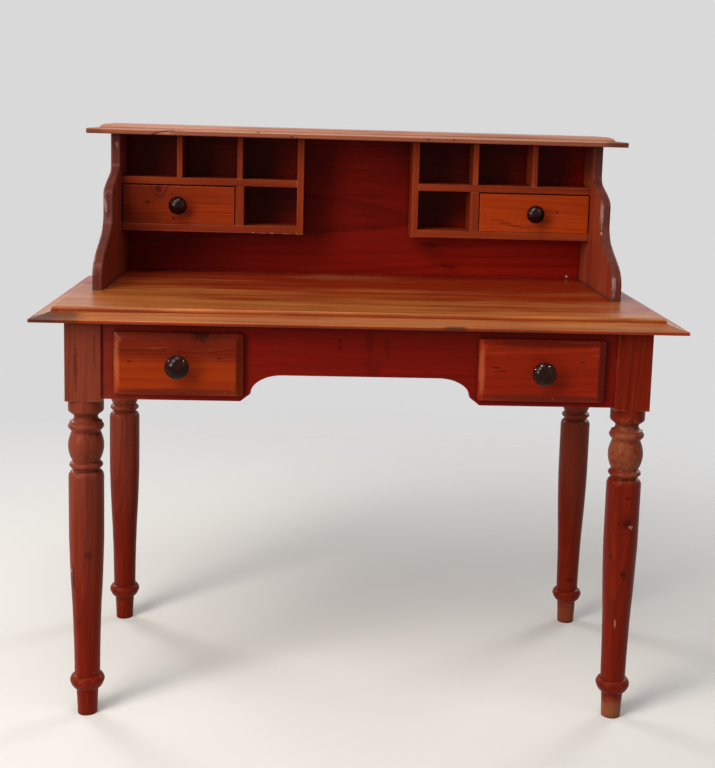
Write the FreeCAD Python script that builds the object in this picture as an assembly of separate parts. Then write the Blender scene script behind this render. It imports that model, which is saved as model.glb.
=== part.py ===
import FreeCAD, Part
import os
from collections import namedtuple

# A pine writing desk: a table on four turned legs with two lipped drawers in its front apron,
# and a hutch of pigeonholes with two small drawers standing on its back half.
# The desk's front faces -Y. The origin is on the floor, in the middle of the desk's overall box.

Vector = FreeCAD.Vector

# Overall sizes, in millimetres.
table_width = 1170.0
table_depth = 600.0
table_height = 770.0

# Fits and cutting allowances.
glue_gap = 0.1
running_gap = 0.3
cut_overrun = 5.0
same_place = 0.01

# Tabletop boards and their moulded edge: a square edge, a hollow slope and a step up to the field.
top_thick = 25.0
top_board_count = 4
top_edge = 7.0
top_slope_rise = 9.5
top_slope_run = 34.0
top_slope_dip = 1.2
top_step_run = 4.0
top_edge_round = 2.0

# Legs: a square block over a turned length.
leg_block = 65.0
leg_block_drop = 5.0
leg_block_round = 2.0
leg_end_overhang = 58.0
leg_front_overhang = 25.5
leg_back_overhang = 39.5

# Each turned point, from inside the block down to the floor: its share of the turned height, its share of
# half the block's width, and the swell of the stretch that leads to it, as a share of the same half width.
leg_turning_shares = (
    (1.020, 0.985, 0.000),
    (0.969, 0.985, 0.000),
    (0.962, 0.950, 0.012),
    (0.949, 0.660, 0.000),
    (0.944, 0.660, 0.000),
    (0.930, 0.890, -0.060),
    (0.926, 0.890, 0.000),
    (0.906, 0.880, 0.105),
    (0.899, 0.790, 0.000),
    (0.810, 0.775, 0.208),
    (0.806, 0.770, 0.000),
    (0.785, 0.760, 0.165),
    (0.780, 0.745, 0.000),
    (0.760, 0.980, 0.060),
    (0.568, 0.975, 0.004),
    (0.354, 0.815, 0.018),
    (0.128, 0.715, -0.018),
    (0.119, 0.920, 0.030),
    (0.100, 0.920, 0.055),
    (0.082, 0.640, 0.050),
    (0.080, 0.615, 0.000),
    (0.000, 0.550, 0.000),
)

# Aprons, tenoned into the legs.
apron_sill = 11.0
apron_thick = 22.0
apron_setback = 5.0
tenon_length = 22.0
tenon_thick = 8.0
tenon_shoulder = 18.0

# Kneehole arch in the front apron's lower edge.
arch_stile = 7.0
arch_rise = 48.5
arch_toe_width = 18.0
arch_toe_rise = 14.0
arch_shoulder_width = 57.0

# Main drawers, with a lipped and bevelled face over the apron.
main_leg_gap = 22.5
main_face_width = 229.0
main_face_height = 113.0
main_face_drop = 16.0
main_face_thick = 15.0
main_bevel_drop = 6.0
main_bevel_run = 12.0
main_face_corner = 5.0
main_field_corner = 8.0
main_face_round = 2.0
main_field_round = 1.5
main_lip = 12.0
main_lip_gap = 0.4
main_side_gap = 2.0
main_head_gap = 4.0
main_tail_thick = 10.0
main_rear_gap = 93.0
main_side_thick = 12.0
main_back_thick = 12.0
main_bottom_thick = 6.0
main_bottom_lift = 8.0
main_groove = 6.0
main_knob_radius = 21.0
main_knob_length = 37.0
main_spigot_radius = 5.5

# Runners and kickers of the main drawers.
runner_width = 30.0
runner_thick = 14.0
runner_guide_width = 12.0
runner_guide_height = 30.0
kicker_width = 30.0
kicker_gap = 1.5

# Fixing blocks and their screws, under the tabletop.
fixing_block_length = 40.0
fixing_block_section = 22.0
fixing_front_place = 60.0
fixing_back_place = 120.0
screw_radius = 2.0
screw_head_radius = 4.0
screw_head_height = 2.5
screw_cover = 11.0
screw_clearance = 0.2

# Hutch sides, with a scrolled front edge that steps back twice, and the hutch's back and top.
hutch_end_inset = 69.0
hutch_side_thick = 20.0
hutch_back_setback = 5.0
side_head_margin = 16.0
side_waist_step = 99.0
side_foot_step = 134.0
side_edge_round = 4.0
scroll_foot_share = 0.09
scroll_waist_shares = (0.475, 0.59)
scroll_head_share = 0.80
scroll_handle_share = 0.5
back_panel_thick = 12.0
back_rebate = 10.0
hutch_top_end_overhang = 44.0
hutch_top_front_overhang = 38.0
hutch_top_thick = 20.0
hutch_top_edge = 10.5
hutch_top_slope_rise = 2.0
hutch_top_slope_run = 24.0
hutch_top_slope_dip = 0.4
hutch_top_step_run = 16.0
hutch_top_edge_round = 2.0
dowel_radius = 4.0
dowel_cover = 7.0
dowel_in_side = 22.0
dowel_place_shares = (0.15, 0.40)

# Pigeonhole units, one against each hutch side.
cubby_depth = 84.0
centre_bay_width = 229.0
under_shelf_height = 93.5
upper_cubby_height = 88.5
lower_cubby_width = 111.5
floor_thick = 16.0
shelf_thick = 15.0
upright_thick = 14.0
upper_divider_thick = 11.0
lower_divider_thick = 18.0
housing_depth = 6.0
cubby_edge_round = 1.2

# Small drawers, set in flush under the pigeonhole shelves.
small_opening_height = 83.0
small_side_gap = 2.0
small_head_gap = 2.5
small_rear_gap = 3.0
small_face_thick = 9.0
small_face_round = 1.2
small_tail_thick = 6.0
small_side_drop = 18.0
small_side_thick = 8.0
small_back_thick = 8.0
small_bottom_thick = 4.0
small_bottom_lift = 5.0
small_groove = 4.0
small_knob_radius = 18.5
small_knob_length = 32.0
small_spigot_radius = 4.5

# Each turned point of a knob, from the middle of its dome back to the drawer's face: its share of the
# knob's length, its share of the knob's radius, and the swell of the stretch that leads to it.
knob_turning_shares = (
    (1.000, 0.000, 0.000),
    (0.930, 0.550, 0.031),
    (0.740, 0.970, 0.032),
    (0.600, 0.955, 0.055),
    (0.500, 0.560, 0.042),
    (0.200, 0.480, -0.080),
    (0.090, 0.640, -0.030),
    (0.000, 0.640, 0.000),
)

# How far along a quarter ellipse's two tangents its Bezier handles reach.
quarter_handle_share = 0.5523

# Places that several pieces share.
top_low = table_height - top_thick
knob_overhang = main_lip_gap + main_face_thick + main_knob_length - leg_front_overhang - apron_setback
top_front = (max(knob_overhang, 0) - table_depth) / 2
top_rear = top_front + table_depth
top_half = table_width / 2
board_width = table_depth / top_board_count

leg_half = leg_block / 2
leg_x = top_half - leg_end_overhang - leg_half
leg_front_y = top_front + leg_front_overhang + leg_half
leg_back_y = top_rear - leg_back_overhang - leg_half
leg_inner = leg_x - leg_half

main_face_low = top_low - main_face_drop - main_face_height
apron_low = main_face_low - apron_sill
turned_height = apron_low - leg_block_drop
apron_inset = leg_half - apron_setback
apron_front = leg_front_y - apron_inset
apron_back = leg_back_y + apron_inset
apron_front_inner = apron_front + apron_thick
apron_back_inner = apron_back - apron_thick
apron_side = leg_x + apron_inset
apron_side_inner = apron_side - apron_thick

main_opening_width = main_face_width - 2 * main_lip
main_opening_height = main_face_height - 2 * main_lip
main_opening_low = main_face_low + main_lip
main_box_width = main_opening_width - 2 * main_side_gap
main_side_height = main_opening_height - main_head_gap
main_side_low = main_opening_low + running_gap
main_side_top = main_side_low + main_side_height
main_centre = leg_inner - main_leg_gap - main_face_width / 2
main_box_length = apron_back_inner - main_rear_gap - apron_front + main_lip_gap
arch_half_width = main_centre - main_opening_width / 2 - arch_stile
arch_shoulder = arch_half_width - arch_toe_width
arch_crown = arch_shoulder - arch_shoulder_width

hutch_half = top_half - hutch_end_inset
hutch_inner = hutch_half - hutch_side_thick
hutch_rear = top_rear - hutch_back_setback
back_face = hutch_rear - back_panel_thick
cubby_front = back_face - cubby_depth
floor_low = table_height + under_shelf_height
floor_top = floor_low + floor_thick
shelf_low = floor_top + small_opening_height
shelf_top = shelf_low + shelf_thick
hutch_top_low = shelf_top + upper_cubby_height
side_height = hutch_top_low - table_height
side_head_depth = back_panel_thick + cubby_depth + side_head_margin
side_waist_depth = side_head_depth + side_waist_step
side_foot_depth = side_waist_depth + side_foot_step
upright_inner = centre_bay_width / 2
upright_outer = upright_inner + upright_thick
lower_divider_inner = upright_outer + lower_cubby_width
lower_divider_outer = lower_divider_inner + lower_divider_thick
small_opening_width = hutch_inner - lower_divider_outer

Moulding = namedtuple("Moulding", "edge rise run dip step_run edge_round")
top_moulding = Moulding(top_edge, top_slope_rise, top_slope_run, top_slope_dip, top_step_run, top_edge_round)
hutch_top_moulding = Moulding(
    hutch_top_edge, hutch_top_slope_rise, hutch_top_slope_run,
    hutch_top_slope_dip, hutch_top_step_run, hutch_top_edge_round)

Drawer = namedtuple(
    "Drawer",
    "face_width face_height face_low face_front face_thick tail_thick box_width side_low side_height length "
    "side_thick back_thick bottom_thick bottom_lift groove knob_radius knob_length spigot_radius")


def board(x, y, z):
    """Board between a low and a high place along each axis."""
    return Part.makeBox(x[1] - x[0], y[1] - y[0], z[1] - z[0], Vector(x[0], y[0], z[0]))


def about(centre, width):
    """Low and high place of a width about its centre."""
    return (centre - width / 2, centre + width / 2)


def across(side, near, far):
    """Low and high place of a stretch on the left, -1, or on the right, +1, of the middle."""
    return tuple(sorted((side * near, side * far)))


def grown(span, gap):
    """Low and high place moved apart by a gap at each end."""
    return (span[0] - gap, span[1] + gap)


def eased(shape, radius, chosen):
    """Shape with the chosen edges rounded over."""
    return shape.makeFillet(radius, [edge for edge in shape.Edges if chosen(edge.BoundBox)])


def upright_edge(box):
    """True for an edge that stands along Z."""
    return box.XLength < same_place and box.YLength < same_place


def line(start, end):
    """Straight edge."""
    return Part.LineSegment(start, end).toShape()


def bezier(poles):
    """Curved edge with the poles given."""
    curve = Part.BezierCurve()
    curve.setPoles(poles)
    return curve.toShape()


def quarter(start, end, corner):
    """Quarter of an ellipse that leaves and arrives along the sides of a corner."""
    return bezier([
        start,
        start + (corner - start) * quarter_handle_share,
        end + (corner - end) * quarter_handle_share,
        end,
    ])


def swelling(start, end, swell, outward):
    """Edge that is straight, or a bow whose middle stands out by its swell."""
    if swell == 0:
        return line(start, end)
    return bezier([start, (start + end) / 2 + outward * (2 * swell), end])


def solid_of(edges, path):
    """Solid swept straight along a path by the outline that the edges close."""
    return Part.Face(Part.Wire(Part.__sortEdges__(edges))).extrude(path)


def turned(shares, height, radius):
    """Turned solid about Z, standing on the origin, from shares of its height and radius."""
    points = [Vector(radius * wide, 0, height * high) for high, wide, swell in shares]
    top = Vector(0, 0, points[0].z)
    foot = Vector(0, 0, points[-1].z)
    edges = [line(points[-1], foot), line(foot, top)]
    if points[0].x > 0:
        edges.append(line(top, points[0]))
    for start, end, (high, wide, swell) in zip(points, points[1:], shares[1:]):
        away = (end - start).cross(Vector(0, 1, 0)).normalize()
        edges.append(swelling(start, end, swell * radius, away))
    outline = Part.Face(Part.Wire(Part.__sortEdges__(edges)))
    return outline.revolve(foot, Vector(0, 0, 1), 360)


def moulded_edge(at, inward, thick, moulding, point):
    """Edges of a moulding from a panel's underside up to its field."""
    def place(reach, height):
        return point(at + inward * reach, height)

    lip = moulding.edge_round
    slope_top = moulding.edge + moulding.rise
    field = moulding.run + moulding.step_run
    slope_start = place(lip, moulding.edge)
    slope_end = place(moulding.run, slope_top)
    slope_dip = Vector(point(0, -1) - point(0, 0))
    return [
        quarter(place(lip, 0), place(0, lip), place(0, 0)),
        line(place(0, lip), place(0, moulding.edge - lip)),
        quarter(place(0, moulding.edge - lip), slope_start, place(0, moulding.edge)),
        swelling(slope_start, slope_end, moulding.dip, slope_dip),
        quarter(slope_end, place(field, thick), place(moulding.run, thick)),
    ]


def cross_section(span, thick, moulding, moulded, point):
    """Edges across a panel, moulded at its low end, its high end or both."""
    edges = []
    feet = []
    heads = []
    for at, inward, shaped in zip(span, (1, -1), moulded):
        if shaped:
            edges += moulded_edge(at, inward, thick, moulding, point)
            feet.append(point(at + inward * moulding.edge_round, 0))
            heads.append(point(at + inward * (moulding.run + moulding.step_run), thick))
        else:
            feet.append(point(at, 0))
            heads.append(point(at, thick))
            edges.append(line(feet[-1], heads[-1]))
    return edges + [line(*feet), line(*heads)]


def moulded_panel(x, y, thick, moulding, front):
    """Flat panel with its underside at zero, with moulded ends, and a moulded front if asked."""
    x_run = grown(x, cut_overrun)
    y_run = grown(y, cut_overrun)

    def across_x(reach, height):
        return Vector(reach, y_run[0], height)

    def across_y(reach, height):
        return Vector(x_run[0], reach, height)

    ends = cross_section(x, thick, moulding, (True, True), across_x)
    sides = cross_section(y, thick, moulding, (front, False), across_y)
    lengthwise = solid_of(ends, Vector(0, y_run[1] - y_run[0], 0))
    crosswise = solid_of(sides, Vector(x_run[1] - x_run[0], 0, 0))
    return lengthwise.common(crosswise).Solids[0]


def rounded_outline(x, y, z, radius):
    """Closed outline with rounded corners, at a height."""
    corners = [Vector(x[0], y[0], z), Vector(x[1], y[0], z), Vector(x[1], y[1], z), Vector(x[0], y[1], z)]
    edges = []
    for index, corner in enumerate(corners):
        before = corners[index - 1]
        after = corners[(index + 1) % len(corners)]
        start = corner + (before - corner).normalize() * radius
        end = corner + (after - corner).normalize() * radius
        edges.append(quarter(start, end, corner))
        edges.append(line(end, after + (corner - after).normalize() * radius))
    return Part.Wire(edges)


def bevelled_panel(x, y):
    """Face of a main drawer, lying on its back, with a bevel from its square edge up to its field."""
    edge = main_face_thick - main_bevel_drop
    foot = rounded_outline(x, y, 0, main_face_corner)
    rim = rounded_outline(x, y, edge, main_face_corner)
    field_x = grown(x, -main_bevel_run)
    field_y = grown(y, -main_bevel_run)
    field = rounded_outline(field_x, field_y, main_face_thick, main_field_corner)
    plate = Part.makeLoft([foot, rim], True, True)
    bevel = Part.makeLoft([rim, field], True, True)
    shape = plate.fuse(bevel).removeSplitter()
    shape = eased(shape, main_field_round, lambda box: box.ZMin > main_face_thick - same_place)
    return eased(
        shape, main_face_round,
        lambda box: box.ZLength < same_place and edge - same_place < box.ZMin < edge + same_place)


def facing_front(panel, y):
    """Panel stood up so that its field faces the front, with its back on a plane."""
    panel.rotate(Vector(0, 0, 0), Vector(1, 0, 0), 90)
    panel.translate(Vector(0, y, 0))
    return panel


def leg(x, y, side_inward, depth_inward):
    """Leg with a block over its turned length, mortised for the two aprons that meet in it."""
    block = board(about(0, leg_block), about(0, leg_block), (turned_height, top_low))
    block = eased(block, leg_block_round, upright_edge)
    shape = block.fuse(turned(leg_turning_shares, turned_height, leg_half)).removeSplitter()
    shape.translate(Vector(x, y, 0))
    tenon_z = grown((apron_low + tenon_shoulder, top_low - tenon_shoulder), glue_gap)
    reach = leg_half - tenon_length - glue_gap
    wide = grown(about(apron_inset - apron_thick / 2, tenon_thick), glue_gap)
    for along_x in (True, False):
        inward = side_inward if along_x else depth_inward
        outward = -depth_inward if along_x else -side_inward
        depth = across(inward, reach, leg_half + cut_overrun)
        width = across(outward, *wide)
        spans = (depth, width) if along_x else (width, depth)
        x_span = tuple(x + place for place in spans[0])
        y_span = tuple(y + place for place in spans[1])
        shape = shape.cut(board(x_span, y_span, tenon_z))
    return shape.Solids[0]


def apron_board(length, thickness, along_x):
    """Apron board between two legs, with a tenon at each end."""
    tenon_run = grown(length, tenon_length)
    tenon_width = about(sum(thickness) / 2, tenon_thick)
    tenon_z = (apron_low + tenon_shoulder, top_low - tenon_shoulder)
    if along_x:
        body = board(length, thickness, (apron_low, top_low))
        tenon = board(tenon_run, tenon_width, tenon_z)
    else:
        body = board(thickness, length, (apron_low, top_low))
        tenon = board(tenon_width, tenon_run, tenon_z)
    return body.fuse(tenon).removeSplitter()


def kneehole_arch():
    """Cutting shape of the kneehole: at each side a sloping toe and a shoulder, under a flat crown."""
    def place(x, z):
        return Vector(x, apron_front - cut_overrun, apron_low + z)

    edges = [
        line(place(-arch_half_width, -cut_overrun), place(arch_half_width, -cut_overrun)),
        line(place(-arch_crown, arch_rise), place(arch_crown, arch_rise)),
    ]
    for side in (-1, 1):
        low = place(side * arch_half_width, -cut_overrun)
        toe = place(side * arch_half_width, 0)
        cusp = place(side * arch_shoulder, arch_toe_rise)
        crown = place(side * arch_crown, arch_rise)
        edges.append(line(low, toe))
        edges.append(line(toe, cusp))
        edges.append(quarter(cusp, crown, place(side * arch_shoulder, arch_rise)))
    return solid_of(edges, Vector(0, apron_thick + 2 * cut_overrun, 0))


def front_apron():
    """Front apron with its kneehole arch and an opening for each main drawer."""
    shape = apron_board((-leg_inner, leg_inner), (apron_front, apron_front_inner), True)
    shape = shape.cut(kneehole_arch())
    through = grown((apron_front, apron_front_inner), cut_overrun)
    opening_z = (main_opening_low, main_opening_low + main_opening_height)
    for side in (-1, 1):
        shape = shape.cut(board(about(side * main_centre, main_opening_width), through, opening_z))
    return shape.Solids[0]


def table_frame():
    """Legs and aprons, by name."""
    pieces = {}
    for depth_name, y, depth_inward in (("front", leg_front_y, 1), ("back", leg_back_y, -1)):
        for hand, side in (("left", -1), ("right", 1)):
            pieces[f"leg_{depth_name}_{hand}"] = leg(side * leg_x, y, -side, depth_inward)
    pieces["front_apron"] = front_apron()
    pieces["back_apron"] = apron_board((-leg_inner, leg_inner), (apron_back_inner, apron_back), True)
    side_length = (leg_front_y + leg_half, leg_back_y - leg_half)
    for hand, side in (("left", -1), ("right", 1)):
        thickness = across(side, apron_side_inner, apron_side)
        pieces[f"{hand}_apron"] = apron_board(side_length, thickness, False)
    return pieces


def top_boards(holes):
    """Edge-glued boards of the tabletop, the front one moulded along its front, with the holes cut out."""
    pieces = {}
    for index in range(top_board_count):
        front = top_front + index * board_width
        shape = moulded_panel(
            (-top_half, top_half), (front, front + board_width), top_thick, top_moulding, index == 0)
        shape.translate(Vector(0, 0, top_low))
        for hole in holes:
            shape = shape.cut(hole)
        pieces[f"top_board_{index + 1}"] = shape.Solids[0]
    return pieces


def runners_and_kickers():
    """Rebated runners beside and under each main drawer, and the kickers over the two drawers."""
    pieces = {}
    kickers = []
    run = (apron_front_inner, apron_back_inner)
    for hand, side in (("left", -1), ("right", 1)):
        for edge_name, edge in (("inner", -1), ("outer", 1)):
            guide = main_centre + edge * main_opening_width / 2
            guide_far = guide + edge * runner_guide_width
            bed_near = guide_far - edge * runner_width
            bed_low = main_opening_low - runner_thick
            wall_top = main_opening_low + runner_guide_height
            bed = board(across(side, bed_near, guide_far), run, (bed_low, main_opening_low))
            wall = board(across(side, guide, guide_far), run, (bed_low, wall_top))
            pieces[f"{hand}_runner_{edge_name}"] = bed.fuse(wall).removeSplitter()
        kicker_x = about(side * main_centre, kicker_width)
        kickers.append(board(kicker_x, run, (main_side_top + kicker_gap, top_low)))
    pieces["drawer_kickers"] = Part.makeCompound(kickers)
    return pieces


def post(x, y, z, radius):
    """Round bar that stands between two heights."""
    return Part.makeCylinder(radius, z[1] - z[0], Vector(x, y, z[0]))


def top_fixings():
    """Fixing blocks along the aprons, their screws, and the holes that the screws need in the tabletop."""
    half = fixing_block_section / 2
    places = [(side * fixing_front_place, apron_front_inner + half, True) for side in (-1, 1)]
    places += [(side * fixing_back_place, apron_back_inner - half, True) for side in (-1, 1)]
    side_y = top_front + board_width + board_width / 2
    places += [(side * (apron_side_inner - half), side_y, False) for side in (-1, 1)]
    block_low = top_low - fixing_block_section
    tip = table_height - screw_cover
    blocks = []
    screws = []
    holes = []
    for x, y, along_x in places:
        long_span = about(x if along_x else y, fixing_block_length)
        short_span = about(y if along_x else x, fixing_block_section)
        x_span, y_span = (long_span, short_span) if along_x else (short_span, long_span)
        block = board(x_span, y_span, (block_low, top_low))
        hole = post(x, y, (block_low - cut_overrun, tip + screw_clearance), screw_radius + screw_clearance)
        shank = post(x, y, (block_low, tip), screw_radius)
        head = post(x, y, (block_low - screw_head_height, block_low), screw_head_radius)
        blocks.append(block.cut(hole))
        screws.append(head.fuse(shank).removeSplitter())
        holes.append(hole)
    pieces = {"top_fixing_blocks": Part.makeCompound(blocks), "top_screws": Part.makeCompound(screws)}
    return pieces, holes


def hutch_dowels():
    """Dowels between the hutch sides and the tabletop, and the holes that they need."""
    dowels = []
    holes = []
    dowel_z = (top_low + dowel_cover, table_height + dowel_in_side)
    for side in (-1, 1):
        for share in dowel_place_shares:
            place = (side * (hutch_half - hutch_side_thick / 2), hutch_rear - share * side_foot_depth)
            dowels.append(post(*place, dowel_z, dowel_radius))
            holes.append(post(*place, grown(dowel_z, glue_gap), dowel_radius + glue_gap))
    return {"hutch_dowels": Part.makeCompound(dowels)}, holes


def hutch_side(side, holes):
    """Scrolled hutch side with housings for the unit's floor and shelf and a rebate for the back panel."""
    def place(depth, share):
        return Vector(side * hutch_inner, hutch_rear - depth, table_height + share * side_height)

    edges = [
        line(place(0, 0), place(side_foot_depth, 0)),
        line(place(side_foot_depth, 0), place(side_foot_depth, scroll_foot_share)),
        line(place(side_head_depth, scroll_head_share), place(side_head_depth, 1)),
        line(place(side_head_depth, 1), place(0, 1)),
        line(place(0, 1), place(0, 0)),
        line(*[place(side_waist_depth, share) for share in scroll_waist_shares]),
    ]
    steps = (
        (side_foot_depth, scroll_foot_share, side_waist_depth, scroll_waist_shares[0]),
        (side_waist_depth, scroll_waist_shares[1], side_head_depth, scroll_head_share),
    )
    for low_depth, low_share, high_depth, high_share in steps:
        handle = scroll_handle_share * (high_share - low_share)
        edges.append(bezier([
            place(low_depth, low_share),
            place(low_depth, low_share + handle),
            place(high_depth, high_share - handle),
            place(high_depth, high_share),
        ]))
    shape = solid_of(edges, Vector(side * hutch_side_thick, 0, 0))
    scroll_reach = hutch_rear - side_head_depth + same_place
    shape = eased(
        shape, side_edge_round,
        lambda box: box.XLength < same_place and box.YMax < scroll_reach and box.ZLength > same_place)

    housing_x = across(side, hutch_inner - cut_overrun, hutch_inner + housing_depth + glue_gap)
    housing_y = (cubby_front - glue_gap, back_face + cut_overrun)
    for span in ((floor_low, floor_top), (shelf_low, shelf_top)):
        shape = shape.cut(board(housing_x, housing_y, grown(span, glue_gap)))
    rebate_x = across(side, hutch_inner - cut_overrun, hutch_inner + back_rebate + glue_gap)
    rebate_z = grown((table_height, hutch_top_low), cut_overrun)
    shape = shape.cut(board(rebate_x, (back_face, hutch_rear + cut_overrun), rebate_z))
    for hole in holes:
        shape = shape.cut(hole)
    return shape.Solids[0]


def hutch_case(holes):
    """Hutch sides, back panel and moulded top, by name."""
    pieces = {"hutch_side_left": hutch_side(-1, holes), "hutch_side_right": hutch_side(1, holes)}
    back_x = grown((-hutch_inner, hutch_inner), back_rebate)
    pieces["hutch_back"] = board(back_x, (back_face, hutch_rear), (table_height, hutch_top_low))
    top_x = grown((-hutch_half, hutch_half), hutch_top_end_overhang)
    top_y = (hutch_rear - side_head_depth - hutch_top_front_overhang, hutch_rear)
    top = moulded_panel(top_x, top_y, hutch_top_thick, hutch_top_moulding, True)
    top.translate(Vector(0, 0, hutch_top_low))
    pieces["hutch_top"] = top
    return pieces


def cubby_board(x, z):
    """Board of a pigeonhole unit, from its front to the back panel, with its front edges eased."""
    shape = board(x, (cubby_front, back_face), z)
    lengthwise_x = x[1] - x[0] > z[1] - z[0]

    def front_edge(box):
        length, thickness = (box.XLength, box.ZLength) if lengthwise_x else (box.ZLength, box.XLength)
        return box.YMax < cubby_front + same_place and thickness < same_place < length

    return eased(shape, cubby_edge_round, front_edge)


def pigeonhole_unit(hand, side):
    """Floor, shelf, end upright and dividers of one unit, by name."""
    shelf_x = across(side, upright_outer, hutch_inner + housing_depth)
    upright_x = across(side, upright_inner, upright_outer)
    lower_x = across(side, lower_divider_inner, lower_divider_outer)
    pieces = {
        f"{hand}_unit_floor": cubby_board(shelf_x, (floor_low, floor_top)),
        f"{hand}_unit_shelf": cubby_board(shelf_x, (shelf_low, shelf_top)),
        f"{hand}_unit_upright": cubby_board(upright_x, (floor_low, hutch_top_low)),
        f"{hand}_unit_lower_divider": cubby_board(lower_x, (floor_top, shelf_low)),
    }
    upper_names = ("inner", "outer")
    upper_room = hutch_inner - upright_outer - len(upper_names) * upper_divider_thick
    cubby_width = upper_room / (len(upper_names) + 1)
    divider_low = upright_outer
    for upper_name in upper_names:
        divider_low += cubby_width
        divider_x = across(side, divider_low, divider_low + upper_divider_thick)
        pieces[f"{hand}_unit_{upper_name}_divider"] = cubby_board(divider_x, (shelf_top, hutch_top_low))
        divider_low += upper_divider_thick
    return pieces


def knob(size):
    """Turned knob with a spigot that is glued through the drawer's front, standing out from y = 0."""
    shape = turned(knob_turning_shares, size.knob_length, size.knob_radius)
    spigot_length = size.face_thick + size.tail_thick
    spigot = Part.makeCylinder(size.spigot_radius, spigot_length, Vector(0, 0, -spigot_length))
    shape = shape.fuse(spigot).removeSplitter()
    return facing_front(shape, 0)


def drawer(name, centre, size, face):
    """Front, sides, back, bottom panel and knob of a drawer, by name, from its finished face panel."""
    face_back = size.face_front + size.face_thick
    tail_back = face_back + size.tail_thick
    box_back = face_back + size.length
    side_z = (size.side_low, size.side_low + size.side_height)
    inside = about(centre, size.box_width - 2 * size.side_thick)
    bottom_z = (size.side_low + size.bottom_lift, size.side_low + size.bottom_lift + size.bottom_thick)
    groove_x = grown(inside, size.groove)
    bottom = board(groove_x, (tail_back - size.groove, box_back), bottom_z)
    groove = board(
        grown(groove_x, glue_gap), (tail_back - size.groove - glue_gap, box_back + cut_overrun),
        grown(bottom_z, glue_gap))

    knob_z = size.face_low + size.face_height / 2
    pull = knob(size)
    pull.translate(Vector(centre, size.face_front, knob_z))
    spigot_hole = Part.makeCylinder(
        size.spigot_radius + glue_gap, tail_back - size.face_front + 2 * cut_overrun,
        Vector(centre, size.face_front - cut_overrun, knob_z), Vector(0, 1, 0))
    front = face.fuse(board(inside, (face_back, tail_back), side_z)).removeSplitter()
    front = front.cut(groove).cut(spigot_hole)

    pieces = {f"{name}_front": front.Solids[0], f"{name}_bottom": bottom, f"{name}_knob": pull}
    for edge_name, edge in (("left", -1), ("right", 1)):
        outer = centre + edge * size.box_width / 2
        inner = outer - edge * size.side_thick
        plank = board(tuple(sorted((inner, outer))), (face_back, box_back), side_z)
        pieces[f"{name}_{edge_name}_side"] = plank.cut(groove)
    pieces[f"{name}_back"] = board(
        inside, (box_back - size.back_thick, box_back), (bottom_z[1] + glue_gap, side_z[1]))
    return pieces


def main_drawer(hand, side):
    """Lipped main drawer, whose bevelled face closes against the front apron."""
    face_front = apron_front - main_lip_gap - main_face_thick
    size = Drawer(
        main_face_width, main_face_height, main_face_low, face_front, main_face_thick, main_tail_thick,
        main_box_width, main_side_low, main_side_height, main_box_length, main_side_thick, main_back_thick,
        main_bottom_thick, main_bottom_lift, main_groove,
        main_knob_radius, main_knob_length, main_spigot_radius)
    face = bevelled_panel(
        about(side * main_centre, main_face_width), (main_face_low, main_face_low + main_face_height))
    face = facing_front(face, face_front + main_face_thick)
    return drawer(f"{hand}_drawer", side * main_centre, size, face)


def small_drawer(hand, side):
    """Small drawer, set in flush with the front of its pigeonhole unit."""
    face_width = small_opening_width - 2 * small_side_gap
    face_height = small_opening_height - small_head_gap - running_gap
    face_low = floor_top + running_gap
    length = cubby_depth - small_face_thick - small_rear_gap
    centre = side * (hutch_inner - small_opening_width / 2)
    size = Drawer(
        face_width, face_height, face_low, cubby_front, small_face_thick, small_tail_thick,
        face_width, face_low, face_height - small_side_drop, length, small_side_thick, small_back_thick,
        small_bottom_thick, small_bottom_lift, small_groove,
        small_knob_radius, small_knob_length, small_spigot_radius)
    face_y = (cubby_front, cubby_front + small_face_thick)
    face = board(about(centre, face_width), face_y, (face_low, face_low + face_height))
    face = eased(face, small_face_round, lambda box: box.YMax < cubby_front + same_place)
    return drawer(f"{hand}_small_drawer", centre, size, face)


def desk():
    """Every piece of the desk, by name."""
    fixings, screw_holes = top_fixings()
    dowels, dowel_holes = hutch_dowels()
    pieces = table_frame()
    pieces.update(top_boards(screw_holes + dowel_holes))
    pieces.update(runners_and_kickers())
    pieces.update(fixings)
    pieces.update(dowels)
    pieces.update(hutch_case(dowel_holes))
    for hand, side in (("left", -1), ("right", 1)):
        pieces.update(pigeonhole_unit(hand, side))
        pieces.update(main_drawer(hand, side))
        pieces.update(small_drawer(hand, side))
    return pieces


os.makedirs("parts", exist_ok=True)
for node, piece in desk().items():
    piece.exportStep(f"parts/{node}.step")
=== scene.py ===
"""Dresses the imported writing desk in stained, varnished and worn pine, and sets it in a plain studio.

Lengths are in metres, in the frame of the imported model: +X to the desk's right, -Y to its front, +Z up.
"""

import logging
import math
from dataclasses import dataclass, field, replace
from enum import Enum
from typing import ClassVar, Dict, Iterator, List, Optional, Sequence, Tuple, Union

import bmesh
import bpy
from mathutils import Color, Matrix, Vector


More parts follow.
